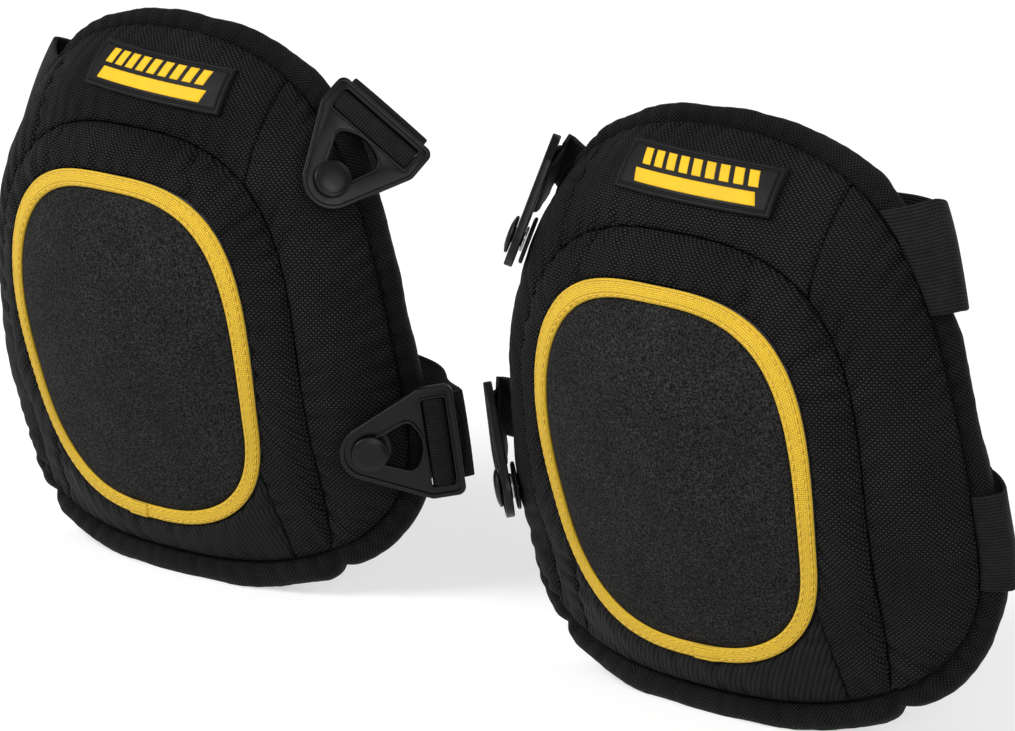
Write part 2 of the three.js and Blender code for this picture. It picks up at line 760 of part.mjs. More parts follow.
// A strap starts in the rim seam away from the clips, lies over the border, folds back
// behind the pad, crosses behind the leg and meets the loop on the clip.
function strap(anchorHeight, frame, mirrored) {
  const heights = strapStations.map((across) => anchorHeight + across);
  const rims = heights.map((height) => spanAtHeight(rimOutline, height));
  const edges = rims.map((rim) => THREE.MathUtils.lerp(rim, Math.max(...rims), strapSquareShare));
  const startRows = strapSeatShares.map((share) => heights.map((height, j) => {
    const inner = spanAtHeight(seamOutline, height);
    return padPoint(-THREE.MathUtils.lerp(inner, edges[j], share), height, borderFront);
  }));
  const foldCentre = (borderFront + borderBack) / 2;
  const foldDepth = (borderFront - borderBack) / 2;
  const foldRows = strapFoldAngles.map((angle) => heights.map((height, j) => padPoint(
    -(edges[j] + strapFoldReach * Math.cos(radians(angle))),
    height,
    foldCentre + foldDepth * Math.sin(radians(angle)),
  )));
  const side = new THREE.Vector3().crossVectors(frame.out, frame.pointing);
  const atClip = (x, y, z) => frame.foot.clone().addScaledVector(frame.pointing, x)
    .addScaledVector(side, y).addScaledVector(frame.out, z);
  const clear = strapLoopReach + 2 * clearance;
  const startLevel = loopLevel + tailLevel;
  const endRow = strapStations.map((y) => atClip(Math.sqrt(clear ** 2 - y ** 2), y, startLevel));
  const outLevel = startLevel - strapThickness / 2;
  const outRow = strapStations.map((y) => atClip(clear + strapThickness, y, outLevel));
  const middle = (line) => line[strapColumnCount / 2];
  const widthOf = (line) => lastOf(line).clone().sub(line[0]).normalize();
  const from = middle(lastOf(foldRows));
  const to = middle(outRow);
  const behind = atClip(strapLoopReach + strapBulge, 0, loopLevel - strapBulgeDrop / 2);
  const under = atClip(strapLoopReach - strapBulgeBack, 0, loopLevel - strapBulgeDrop);
  under.y += strapBulgeGap;
  const turning = from.clone().lerp(under, strapTurnShare);
  turning.y += strapTurnDepth;
  const curve = new THREE.CatmullRomCurve3([from, turning, under, behind, to], false, 'centripetal');
  const widthFrom = widthOf(lastOf(foldRows));
  const widthTo = widthOf(outRow);
  const crossing = [];
  for (let i = 1; i < strapStepCount; i += 1) {
    const share = i / strapStepCount;
    const centre = curve.getPointAt(share);
    const tangent = curve.getTangentAt(share);
    const width = widthFrom.clone().lerp(widthTo, THREE.MathUtils.smoothstep(share, ...strapTwistShares));
    width.addScaledVector(tangent, -width.dot(tangent)).normalize();
    crossing.push(strapStations.map((across) => centre.clone().addScaledVector(width, across)));
  }
  return ribbon([...startRows, ...foldRows, ...crossing, outRow, endRow], mirrored);
}

// Materials

function finish(color, roughness, metalness = 0) {
  return new THREE.MeshStandardMaterial({ color, roughness, metalness });
}

const wovenNylon = () => finish(0x1d1d1f, 0.75);
const ribbedNylon = () => finish(0x202022, 0.7);
const bindingTape = () => finish(0x19191b, 0.8);
const softLining = () => finish(0x262628, 0.95);
const paddingFoam = () => finish(0x3b3d40, 0.95);
const siliconeGel = () => finish(0x4c6f8c, 0.4);
const gripRubber = () => finish(0x2c2c2e, 0.9);
const yellowTape = () => finish(0xf3c32d, 0.75);
const labelRubber = () => finish(0x232325, 0.55);
const elasticWebbing = () => finish(0x242426, 0.85);
const mouldedPlastic = () => finish(0x161618, 0.35);
const platedMetal = () => finish(0x3a3a3d, 0.35, 0.8);

// One pad with its straps and clips

function studPlaces(studs) {
  return {
    upper: { span: studs.upperSpan, height: padHeight * studs.upperShare },
    lower: { span: studs.lowerSpan, height: padHeight * studs.lowerShare },
  };
}

function part(name, geometry, material) {
  const mesh = new THREE.Mesh(geometry, material);
  mesh.name = name;
  return mesh;
}

// A group that stands on a stud's foot, its x axis along the clip and its z axis outwards.
function standOn(frame, mirrored) {
  const flip = (v) => new THREE.Vector3(mirrored ? -v.x : v.x, v.y, v.z);
  const x = flip(frame.pointing);
  const z = flip(frame.out);
  const y = new THREE.Vector3().crossVectors(z, x);
  const group = new THREE.Group();
  group.position.copy(flip(frame.foot));
  group.quaternion.setFromRotationMatrix(new THREE.Matrix4().makeBasis(x, y, z));
  return group;
}

function fastening(side, level, place, anchorHeight, mirrored) {
  const frame = studFrame(place, clipAngles[side][level]);
  const seat = standOn(frame, mirrored);
  const name = `${side}_${level}`;
  seat.add(part(`${name}_stud_plate`, studPlate(), mouldedPlastic()));
  seat.add(part(`${name}_stud`, stud(), platedMetal()));
  seat.add(part(`${name}_clip`, clip(), mouldedPlastic()));
  seat.add(part(`${name}_strap_loop`, strapLoop(), elasticWebbing()));
  return [seat, part(`${name}_strap`, strap(anchorHeight, frame, mirrored), elasticWebbing())];
}

function kneePad(side) {
  const mirrored = side === 'right';
  const pad = new THREE.Group();
  pad.position.x = ((mirrored ? 1 : -1) * padSpacing) / 2;
  pad.add(part(`${side}_liner`, liner(mirrored), softLining()));
  pad.add(part(`${side}_foam_core`, foamCore(mirrored), paddingFoam()));
  pad.add(part(`${side}_gel_insert`, gelInsert(mirrored), siliconeGel()));
  pad.add(part(`${side}_surround_foam`, surroundFoam(mirrored), paddingFoam()));
  pad.add(part(`${side}_cushion_foam`, cushionFoam(mirrored), paddingFoam()));
  pad.add(part(`${side}_grip_patch`, gripPatch(mirrored), gripRubber()));
  pad.add(part(`${side}_patch_trim`, patchTrim(mirrored), yellowTape()));
  const cover = panel(coverRows, footCorner, fullTurn - footCorner, mirrored);
  pad.add(part(`${side}_cushion_cover`, cover, wovenNylon()));
  const lower = panel(coverRows, -footCorner, footCorner, mirrored);
  pad.add(part(`${side}_lower_panel`, lower, ribbedNylon()));
  const top = panel(sideRows, dartCorner, fullTurn - dartCorner, mirrored);
  pad.add(part(`${side}_top_panel`, top, wovenNylon()));
  const clipSide = panel(sideRows, legCorner, dartCorner, mirrored);
  pad.add(part(`${side}_clip_side_panel`, clipSide, wovenNylon()));
  const strapSide = panel(sideRows, fullTurn - dartCorner, fullTurn - legCorner, mirrored);
  pad.add(part(`${side}_strap_side_panel`, strapSide, wovenNylon()));
  pad.add(part(`${side}_edge_band`, edgeBand(mirrored), bindingTape()));
  pad.add(part(`${side}_label`, label(mirrored), labelRubber()));
  const studs = studPlaces(mirrored ? rightStuds : leftStuds);
  pad.add(...fastening(side, 'upper', studs.upper, padHeight * upperAnchorShare, mirrored));
  pad.add(...fastening(side, 'lower', studs.lower, padHeight * lowerAnchorShare, mirrored));
  return pad;
}

const kneePads = new THREE.Group();
kneePads.add(kneePad('left'));
kneePads.add(kneePad('right'));

// The origin is on the floor, under the middle of the pair.
const around = new THREE.Box3().setFromObject(kneePads, true);
kneePads.position.x = -(around.min.x + around.max.x) / 2;
kneePads.position.y = -(around.min.y + around.max.y) / 2;

export default kneePads;
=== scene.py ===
"""Looks of a pair of padded knee pads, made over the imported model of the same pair.

Every fabric surface is worked out over a pad's flat pattern. A place on the pattern is a
span from the middle line and a height from the bottom edge, in millimetres, and a rise
stands out from it. The pattern is divided by rings, which are its seams, and by sectors,
which run round it from the bottom middle."""
import json
import bmesh
import bpy
import numpy as np
from bpy.props import FloatProperty, FloatVectorProperty, PointerProperty
from mathutils import Matrix, Vector


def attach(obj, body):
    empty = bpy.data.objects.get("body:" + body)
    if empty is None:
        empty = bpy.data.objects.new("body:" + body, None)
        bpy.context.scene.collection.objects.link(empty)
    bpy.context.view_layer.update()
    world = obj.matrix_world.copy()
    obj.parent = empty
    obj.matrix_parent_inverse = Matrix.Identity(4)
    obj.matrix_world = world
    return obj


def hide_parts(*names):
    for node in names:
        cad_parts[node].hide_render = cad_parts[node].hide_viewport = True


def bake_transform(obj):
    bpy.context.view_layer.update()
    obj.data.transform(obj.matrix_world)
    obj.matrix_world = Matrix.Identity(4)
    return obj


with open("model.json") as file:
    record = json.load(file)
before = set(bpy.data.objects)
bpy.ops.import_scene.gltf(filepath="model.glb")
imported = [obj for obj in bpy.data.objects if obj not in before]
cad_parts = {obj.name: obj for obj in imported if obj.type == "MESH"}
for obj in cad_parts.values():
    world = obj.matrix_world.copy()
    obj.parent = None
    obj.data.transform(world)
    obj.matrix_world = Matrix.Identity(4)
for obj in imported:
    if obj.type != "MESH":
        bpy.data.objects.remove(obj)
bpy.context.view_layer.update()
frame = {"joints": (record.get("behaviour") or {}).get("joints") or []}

bl_info = {
    "name": "Knee Pad Looks",
    "version": (1, 0, 0),
    "blender": (4, 5, 0),
    "location": "3D View > Sidebar > Knee Pads",
    "description": "Makes the fabric, rubber, webbing and clips of a pair of knee pads",
    "category": "Add Mesh",
}

MM = 0.001
PAD_SIDES = {"left": -1, "right": 1}
LEVELS = ("upper", "lower")
PAIR_HALF_SPACING = 144.0
PAIR_BACK_SHIFT = -22.0525
FOOT_LEVEL = -0.3867

# The pattern of a pad and its bend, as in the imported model. Millimetres and degrees.
PAD_HEIGHT = 245.0
WAIST = 99.0
EDGE_WIDTH = 10.0
PAD_DEPTH = 14.0
LINER_THICKNESS = 1.6
CLEARANCE = 0.3
PATCH_THICKNESS = 2.0
TAPE_WIDTH = 6.4
TAPE_PROUD = 0.5
SKIN_SHIFT = {"curl": 25.8, "flare": 10.7, "top_gain": 0.41, "reach": 100.0}
LEANS = (-7.3, 42.0, 34.3, -32.6)
STAND_ANGLE = 4.0

# An egg is two half superellipses that meet at the waist, the width changing with height:
# half width, waist, bottom, top, power below and above the waist, and taper.
RIM_SHAPE = (128.0, WAIST, 0.0, PAD_HEIGHT, 2.71, 2.24, -0.11)
PATCH_SHAPE = (61.7, 81.5, 25.4, 172.4, 2.65, 2.87, 0.38)
ARCH_SHAPE = (81.0, 103.0, -PAD_HEIGHT, 191.5, PAD_HEIGHT, 2.62, 0.0)
R_CENTRE, R_PATCH, R_TAPE, R_ARCH, R_SEAM, R_RIM = range(6)

# Where the seams across the rings meet them: half spans of the top panel at the arch seam
# and the rim seam, and of the lower panel at the tape and the rim seam. The legs of the
# arch seam end where they come this near to the rim seam.
DART_SPANS = (58, 60)
FOOT_SPANS = (57.5, 65)
LEG_GAP = 4

# How far the fabric stands out at the rings, and how much it puffs up between them.
PATCH_RISE, PATCH_RISE_GAIN, CROWN = 14, 3.5, 3.5
ARCH_RISE, ARCH_RISE_GAIN, ARCH_CLIMB = 3, 7.5, 50
SEAM_RISE, RIM_RISE = 3.0, 1.0
PUFFS = (0.9, 0.0, 2.6, 3.0, 0.0)
PUFF_WIDTH = 24.0

# The border's section: shares across from the rim seam to the rim, and rises.
BORDER_ACROSS = (0, 0.14, 0.45, 0.80, 0.99, 1.0, 0.99, 0.80, 0.45, 0.14, 0)
BORDER_RISES = (1.0, 1.9, 2.45, 0.75, -3.2, -6.6, -9.8, -13.2, -14.9, -14.5, -14.0)

STUDS = {
    "left": {"upper": (89.5, 0.7265 * PAD_HEIGHT), "lower": (103.8, 0.3012 * PAD_HEIGHT)},
    "right": {"upper": (89.5, 0.7 * PAD_HEIGHT), "lower": (101.0, 0.3012 * PAD_HEIGHT)},
}
LABEL_HEIGHT, LABEL_HALF = 211.5, (35.2, 9.9)
LABEL_OFFSETS = {"left": 6.2, "right": -2.8}
LABEL_TILTS = {"left": 3.2, "right": 1.5}

# Seeds of the random waves and puckers.
SEEDS = {
    "foam": (7, 8), "fabric": 20, "patch": 31, "tape": 35, "seam": 40, "border_seam": 44,
    "border": 51, "lining": 61, "lining_seam": 62, "end": 70,
}


def length(name, default, description):
    return FloatProperty(
        name=name, description=description, default=default, unit="LENGTH", subtype="DISTANCE")


def colour(name, default, description):
    return FloatVectorProperty(
        name=name, description=description, default=default, subtype="COLOR", size=3)


class PadSewing(bpy.types.PropertyGroup):
    """Sizes of the sewing and the fabric."""
    weave_pitch: length("Weave pitch", 0.00095, "From one yarn of the coarse weave to the next")
    rib_pitch: length("Rib pitch", 0.0022, "From one rib of the panel under the patch to the next")
    seam_depth: length("Seam depth", 0.0022, "How far the fabric rolls down into a seam")
    seam_roll: length("Seam roll", 0.0026, "How wide the fabric rolls over beside a seam")
    pucker_pitch: length("Pucker pitch", 0.0092, "From one pucker beside a seam to the next")
    pucker_depth: length("Pucker depth", 0.0027, "How deep the puckers beside the seams are")
    stitch_length: length("Stitch length", 0.0026, "Length of one stitch on the yellow tape")
    stitch_pitch: length("Stitch pitch", 0.0036, "From one stitch to the next")
    thread: length("Thread", 0.0004, "Thickness of the sewing thread")


class PadFittings(bpy.types.PropertyGroup):
    """Sizes of the clips and the webbing."""
    clip_bevel: length("Clip edge", 0.0005, "Rounding of the edges of a clip")
    rim_width: length("Clip rim", 0.0019, "Width of the raised rim round a clip")
    rim_height: length("Rim height", 0.0008, "How far the rim stands above the plate of a clip")
    webbing_rib: length("Webbing rib", 0.0012, "From one rib of the elastic webbing to the next")


class PadColours(bpy.types.PropertyGroup):
    """Colours of the finishes."""
    nylon: colour("Woven nylon", (0.0046, 0.0046, 0.0047), "Colour of the coarse woven fabric")
    ribbed: colour("Ribbed nylon", (0.006, 0.006, 0.0062), "Colour of the panel under the patch")
    lining: colour("Lining", (0.021, 0.021, 0.023), "Colour of the soft lining at the back")
    foam: colour("Foam", (0.044, 0.047, 0.051), "Colour of the padding inside")
    rubber: colour("Grip rubber", (0.0105, 0.0105, 0.0108), "Colour of the grained grip patch")
    tape: colour("Tape", (0.9, 0.575, 0.032), "Colour of the tape round the grip patch")
    thread: colour("Tape thread", (0.82, 0.51, 0.028), "Colour of the stitches on the tape")
    label: colour("Label", (0.007, 0.007, 0.0072), "Colour of the rubber label")
    motif: colour("Motif", (0.84, 0.48, 0.02), "Colour of the bars on the label")
    webbing: colour("Webbing", (0.0055, 0.0055, 0.0058), "Colour of the elastic straps")
    plastic: colour("Plastic", (0.0028, 0.0028, 0.003), "Colour of the clips and stud heads")
    metal: colour("Metal", (0.42, 0.42, 0.43), "Colour of the plated stud posts")
    backdrop: colour("Backdrop", (1.0, 1.0, 1.0), "Colour of the light that the floor gives")


class PadStudio(bpy.types.PropertyGroup):
    """The camera and the light."""
    lens: FloatProperty(
        name="Lens", description="Focal length of the camera", default=209.764, unit="CAMERA")
    distance: length("Distance", 2.31828, "From the camera to the point that it looks at")
    sky: FloatProperty(
        name="Room light", description="Strength of the even light of the room", default=0.34)
    key: FloatProperty(
        name="Key lamp", description="Power of the large lamp at the upper left",
        default=62.0, unit="POWER")
    fill: FloatProperty(
        name="Fill lamp", description="Power of the lamp at the right", default=22.0, unit="POWER")


GROUPS = {
    "pad_sewing": PadSewing, "pad_fittings": PadFittings,
    "pad_colours": PadColours, "pad_studio": PadStudio,
}


def settings(group):
    return getattr(bpy.context.scene, group)


# Small sums


def between(start, end, share):
    return start + (end - start) * share


def unit(directions):
    return directions / np.linalg.norm(directions, axis=-1, keepdims=True)


def smooth_step(share):
    share = np.clip(share, 0, 1)
    return share ** 2 * (3 - 2 * share)


def lengths_along(path):
    """How far each point of a path lies along it."""
    steps = np.linalg.norm(np.diff(path, axis=0), axis=1)
    return np.concatenate([[0], np.cumsum(steps)])


def there_and_back(*grids):
    """Each grid with its rows repeated backwards."""
    return [np.concatenate([grid, grid[::-1]]) for grid in grids]


def closed_round(front, back, axis=0):
    """A front, a back in reverse and the front's first row again."""
    first = front.take([0], axis)
    return np.concatenate([front, np.flip(back, axis), first], axis)


def halved(low, high, holds):
    """The place between low and high up to which a test holds, by halving, for whole arrays."""
    for _ in range(34):
        middle = (low + high) / 2
        held = holds(middle)
        low, high = np.where(held, middle, low), np.where(held, high, middle)
    return (low + high) / 2


def cubic_weights(knots, at):
    """The matrix that carries values at even knots to places between them, by the uniform
    Catmull-Rom cubic, the end values held."""
    count = len(knots)
    share = np.clip((np.asarray(at, float) - knots[0]) / (knots[-1] - knots[0]), 0, 1)
    place = share * (count - 1)
    cell = np.minimum(place.astype(int), count - 2)
    t = place - cell
    basis = np.stack([
        -t / 2 + t ** 2 - t ** 3 / 2,
        1 - 2.5 * t ** 2 + 1.5 * t ** 3,
        t / 2 + 2 * t ** 2 - 1.5 * t ** 3,
        -t ** 2 / 2 + t ** 3 / 2,
    ])
    weights = np.zeros((len(place), count))
    rows = np.arange(len(place))
    for step in range(4):
        np.add.at(weights, (rows, np.clip(cell + step - 1, 0, count - 1)), basis[step])
    return weights


# The bent surface of a pad


def height_share(height):
    return (height - PAD_HEIGHT / 2) / (PAD_HEIGHT / 2)


def turn_at(span, height):
    """The turn of the surface to the side: a gain that grows with height, times the sum of
    a linear and a cubic term in the span."""
    share = span / SKIN_SHIFT["reach"]
    gain = 1 + SKIN_SHIFT["top_gain"] * height_share(height)
    return np.radians(gain * (SKIN_SHIFT["curl"] * share + SKIN_SHIFT["flare"] * share ** 3))


def lean_at(height):
    """The lean of the surface to the back: a cubic in the height."""
    return np.radians(np.polynomial.polynomial.polyval(height_share(height), LEANS))


STEP_SHARES = (np.arange(14) + 0.5) / 14


def bent(span, height, rise):
    """The point over a place on the pattern. Along the span and up the height, the cosine
    and sine of the turn and the lean are summed in equal steps, the rise is added along the
    outward normal, and the whole leans back by the angle at which the pad stands."""
    span, height, rise = np.broadcast_arrays(span, height, rise)
    turns = turn_at(span[..., None] * STEP_SHARES, height[..., None])
    leans = lean_at(height[..., None] * STEP_SHARES)
    turn, lean = turn_at(span, height), lean_at(height)
    out = np.stack([np.sin(turn) * np.cos(lean), -np.cos(turn) * np.cos(lean), np.sin(lean)], -1)
    middle = np.stack([
        np.cos(turns).mean(-1) * span,
        np.sin(turns).mean(-1) * span + np.sin(leans).mean(-1) * height,
        np.cos(leans).mean(-1) * height,
    ], -1)
    return stood(middle + out * rise[..., None]) - [0, 0, FOOT_LEVEL], stood(out)


def stood(points):
    """Turns points, or directions, back by the standing angle about the X axis."""
    cos, sin = np.cos(np.radians(STAND_ANGLE)), np.sin(np.radians(STAND_ANGLE))
    x, y, z = np.moveaxis(points, -1, 0)
    return np.stack([x, y * cos + z * sin, z * cos - y * sin], -1)


def on_pad(points, side):
    """Puts the points of a pad's own frame in their place in the pair: mirrored for the
    right pad, moved to its side and back, and in metres."""
    hand = PAD_SIDES[side]
    flipped = points * [-hand, 1, 1]
    return (flipped + [hand * PAIR_HALF_SPACING, PAIR_BACK_SHIFT, 0]) * MM


# Rings and sectors of the pattern


def inset(shape, by):
    half_width, waist, bottom, top, *rest = shape
    return (half_width - by, waist, bottom + by, top - by, *rest)


SEAM_SHAPE = inset(RIM_SHAPE, EDGE_WIDTH)
EGGS = {R_PATCH: inset(PATCH_SHAPE, TAPE_WIDTH), R_TAPE: PATCH_SHAPE, R_SEAM: SEAM_SHAPE, R_RIM: RIM_SHAPE}
FOOT_SECTORS, SIDE_SECTORS, TOP_SECTORS = 3, 9, 3
CORNERS = np.cumsum([0, FOOT_SECTORS, 1, SIDE_SECTORS, TOP_SECTORS]).astype(float)
HALF_TURN = CORNERS[-1]
FULL_TURN = 2 * HALF_TURN
FOOT, LEG, DART = CORNERS[1:4]


def egg_value(egg, span, height):
    """Under 1 inside an egg: the sum of two powers, of the span and of the height."""
    half_width, waist, bottom, top, lower, upper, taper = egg
    offset = height - waist
    width = half_width * (1 + taper * offset / PAD_HEIGHT)
    reach = np.where(offset > 0, top - waist, waist - bottom)
    power = np.where(offset > 0, upper, lower)
    return np.abs(span / width) ** power + np.abs(offset / reach) ** power


def egg_reach(egg, angle):
    """The distance from the pattern's centre to an egg at an angle in degrees."""
    angle = np.asarray(angle, float)
    cos, sin = np.cos(np.radians(angle)), np.sin(np.radians(angle))
    start = np.zeros_like(angle)
    return halved(start, start + PAD_HEIGHT, lambda r: egg_value(egg, r * cos, WAIST + r * sin) < 1)


def span_at(egg, height):
    """The half width of an egg at a height."""
    low = np.zeros_like(height)
    return halved(low, low + PAD_HEIGHT, lambda span: egg_value(egg, span, height) < 1)


def ring_reach(ring, angle):
    if ring == R_CENTRE:
        return np.zeros_like(np.asarray(angle, float))
    if ring == R_ARCH:
        return np.minimum(egg_reach(ARCH_SHAPE, angle), egg_reach(SEAM_SHAPE, angle) - CLEARANCE)
    return egg_reach(EGGS[ring], angle)


def corner_angle(ring, span, start):
    """The angle, from straight up or down, at which a ring stands a span from the middle."""
    near = lambda a: ring_reach(ring, a) * np.cos(np.radians(a)) < span
    return float(halved(np.array(start), np.array(0.0), near))


def between_seams(angle):
    return ring_reach(R_SEAM, angle) - ring_reach(R_ARCH, angle)


LEG_ANGLE = float(halved(np.array(-90.0), np.array(0.0), lambda a: between_seams(a) < LEG_GAP))
ARCH_DART, SEAM_DART = (corner_angle(r, s, 90.0) for r, s in zip((R_ARCH, R_SEAM), DART_SPANS))
TAPE_FOOT, SEAM_FOOT = (corner_angle(r, s, -90.0) for r, s in zip((R_TAPE, R_SEAM), FOOT_SPANS))
INNER_CORNERS = (-90, TAPE_FOOT, TAPE_FOOT - SEAM_FOOT + LEG_ANGLE, ARCH_DART, 90)
ARCH_CORNERS = (-90, SEAM_FOOT, LEG_ANGLE, ARCH_DART, 90)
OUTER_CORNERS = (-90, SEAM_FOOT, LEG_ANGLE, SEAM_DART, 90)
RING_CORNERS = (INNER_CORNERS,) * 3 + (ARCH_CORNERS,) + (OUTER_CORNERS,) * 2
ARCH_FOOT = WAIST + float(ring_reach(R_SEAM, LEG_ANGLE)) * np.sin(np.radians(LEG_ANGLE))


def ring_place(ring, sectors, grow=0.0):
    """Span and height where sectors cross a ring. Sectors run evenly between the corners."""
    turn = np.mod(sectors, FULL_TURN)
    mirrored = turn > HALF_TURN
    angle = np.interp(np.where(mirrored, FULL_TURN - turn, turn), CORNERS, RING_CORNERS[ring])
    reach = ring_reach(ring, angle) + (0 if ring == R_CENTRE else grow)
    span = reach * np.cos(np.radians(angle))
    return np.where(mirrored, -span, span), WAIST + reach * np.sin(np.radians(angle))


def ring_rise(ring, height):
    """How far the fabric stands out at a ring: the patch is higher towards its top, and the
    arch seam comes down to the rim seam at its legs."""
    if ring <= R_TAPE:
        crown = CROWN if ring == R_CENTRE else 0
        return PATCH_RISE + PATCH_RISE_GAIN * height_share(height) + crown
    if ring == R_ARCH:
        return ARCH_RISE + ARCH_RISE_GAIN * np.clip((height - ARCH_FOOT) / ARCH_CLIMB, 0, 1)
    return np.where(ring == R_SEAM, SEAM_RISE, RIM_RISE) + 0 * height


def puff_between(ring, share, width):
    """How much the fabric puffs up at a share of the width from a ring to the next."""
    return PUFFS[ring] * (1 - (2 * share - 1) ** 2) * np.minimum(1, width / PUFF_WIDTH)


RING_SECTORS = np.linspace(0, FULL_TURN, 2049)
RING_LENGTHS = [lengths_along(np.stack(ring_place(ring, RING_SECTORS), -1)) for ring in range(1, 6)]


def length_at(ring, sectors):
    """Arc length from the bottom middle to a sector along a ring."""
    turns = np.floor_divide(sectors, FULL_TURN)
    lengths = RING_LENGTHS[ring - 1]
    return np.interp(sectors - turns * FULL_TURN, RING_SECTORS, lengths) + turns * lengths[-1]


def lay(ring, shares, sectors, grow=(0.0, 0.0)):
    """Places on straight lines from a ring to the next, a row for each share and a column
    for each sector: span, height, plain rise, and the distances to both rings."""
    inner, outer = ring_place(ring, sectors, grow[0]), ring_place(ring + 1, sectors, grow[1])
    share = np.asarray(shares, float)[:, None]
    span, height = between(inner[0], outer[0], share), between(inner[1], outer[1], share)
    width = np.hypot(outer[0] - inner[0], outer[1] - inner[1])
    rise = between(ring_rise(ring, inner[1]), ring_rise(ring + 1, outer[1]), share)
    rise = rise + puff_between(ring, share, width)
    return span, height, rise, width * share, width * (1 - share)


def skin_rise(span, height):
    """The plain rise of the fabric over any place on the pattern."""
    offset = height - WAIST
    angle, reach = np.degrees(np.arctan2(offset, np.abs(span))), np.hypot(span, offset)
    rises = np.zeros_like(reach)
    for ring in range(R_SEAM):
        inner, outer = ring_reach(ring, angle), ring_reach(ring + 1, angle)
        share = np.clip((reach - inner) / (outer - inner), 0, 1)
        level = lambda r, d: ring_rise(r, WAIST + d * np.sin(np.radians(angle)))
        rise = between(level(ring, inner), level(ring + 1, outer), share)
        rises = np.where(reach > inner, rise + puff_between(ring, share, outer - inner), rises)
    return rises


# Fabric relief


def waves(x, y, seed, lengths, count=7):
    """A sum of sine waves whose directions, phases and lengths are drawn from a seed, from
    -1 to 1."""
    rng = np.random.default_rng(seed)
    turn = rng.uniform(0, np.pi, count)
    wavelength = rng.uniform(*lengths, count)
    phase = rng.uniform(0, 2 * np.pi, count)
    place = np.cos(turn) * x[..., None] + np.sin(turn) * y[..., None]
    return np.sin(2 * np.pi * place / wavelength + phase).mean(-1)


# How the phase of the puckers wanders, and their height: amounts, and wavelengths over a
# full turn, in millimetres. They rest this near to a ring's end and this near to the seam.
PHASE_WAVES = ((1.1, 17), (0.6, 9.3))
HEIGHT_MEAN, HEIGHT_SWING, HEIGHT_WAVES = 0.62, 0.38, (13.1, 31)
PUCKER_REST = 9
PUCKER_START = 1.2


def puckers(along, seed):
    """From 0 to 1 along a seam: a wave of the pucker pitch whose phase and height wander. It
    rests at the bottom middle, where a ring starts and ends."""
    pitch = settings("pad_sewing").pucker_pitch / MM
    shifts = np.random.default_rng(seed).uniform(0, 6, 4)
    wander = sum(k * np.sin(along / wave + shift) for (k, wave), shift in zip(PHASE_WAVES, shifts))
    first, second = (np.sin(along / wave + shift) for wave, shift in zip(HEIGHT_WAVES, shifts[2:]))
    strength = HEIGHT_MEAN + HEIGHT_SWING * first * second
    from_end = np.minimum(np.abs(along), np.abs(np.max(along) - along))
    rest = np.clip(from_end / PUCKER_REST, 0, 1)
    return strength * rest * (0.5 - 0.5 * np.sin(2 * np.pi * along / pitch + wander)) ** 2


def seam_dip(distance, along, seed, reach=5.0):
    """How far the fabric goes down beside a seam: a quarter round of the seam's roll and
    depth, and puckers that fade with the distance."""
    sewing = settings("pad_sewing")
    near = np.clip(distance / (sewing.seam_roll / MM), 0, 1)
    rolled = sewing.seam_depth / MM * (1 - np.sqrt(np.clip(1 - (1 - near) ** 2, 0, 1)))
    fade = np.exp(-distance / reach) * np.clip(distance / PUCKER_START, 0, 1)
    return rolled + puckers(along, seed) * fade * sewing.pucker_depth / MM


def border_section(shares):
    """The outside of the border as across and rise over a share from front to back."""
    weights = cubic_weights(np.linspace(0, 1, len(BORDER_ACROSS)), shares)
    return weights @ np.array(BORDER_ACROSS), weights @ np.array(BORDER_RISES)


STUD_HOLD, LABEL_HOLD, HOLD_FADE = 10.5, (2, 3), 7


def held_down(span, height, side="left"):
    """1 where a stud's plate or the label holds the fabric in place, 0 well away from them."""
    reach = [np.hypot(span - s, height - h) - STUD_HOLD for s, h in STUDS[side].values()]
    beside = np.abs(span - LABEL_OFFSETS[side]) - LABEL_HALF[0] - LABEL_HOLD[0]
    above = np.abs(height - LABEL_HEIGHT) - LABEL_HALF[1] - LABEL_HOLD[1]
    near = np.minimum(np.minimum(*reach), np.maximum(beside, above))
    return 1 - smooth_step(near / HOLD_FADE)


# Shallow waves of the fabric: height and range of wavelengths, in millimetres.
FABRIC_WAVES = ((0.9, (26, 70)), (0.35, (9, 20)))
SEAM_FADE = 6
END_REACH = 6


def fabric(ring, shares, sectors, grow, reach, side):
    """Span, height and rise of a panel's fabric: the plain rise and shallow waves, less the
    dips beside its inner and outer seam."""
    span, height, rise, inner, outer = lay(ring, shares, sectors, grow)
    free = 1 - held_down(span, height, side)
    seed = SEEDS["fabric"] + 5 * ring + (3 if side == "right" else 0)
    fade = np.clip(np.minimum(inner, outer) / SEAM_FADE, 0, 1) * free
    for k, (high, lengths) in enumerate(FABRIC_WAVES):
        rise = rise + high * waves(span, height, seed + k, lengths) * fade
    dips = 0
    for seam, distance in ((ring, inner), (ring + 1, outer)):
        along = length_at(max(seam, R_PATCH), sectors)[None, :]
        dips = dips + seam_dip(distance, along, SEEDS["seam"] + seam, reach)
    return span, height, rise - dips * np.clip((inner + outer) / SEAM_FADE, 0, 1)


def end_dips(ring, ends, span, height):
    """The dips at both ends of a panel, where it stops at seams across the ring."""
    total = 0
    for k, place in enumerate(ends):
        start, end = (np.concatenate(ring_place(r, np.array([place]))) for r in (ring, ring + 1))
        run = unit(end - start)
        along = (span - start[0]) * run[0] + (height - start[1]) * run[1]
        distance = np.abs((span - start[0]) * run[1] - (height - start[1]) * run[0])
        total = total + seam_dip(distance, along, SEEDS["end"] + ring + k, END_REACH)
    return total


# Meshes


def quads(index):
    """The four corners of each cell of a grid of point numbers."""
    corners = [index[:-1, :-1], index[1:, :-1], index[1:, 1:], index[:-1, 1:]]
    return np.stack(corners, -1).reshape(-1, 4)


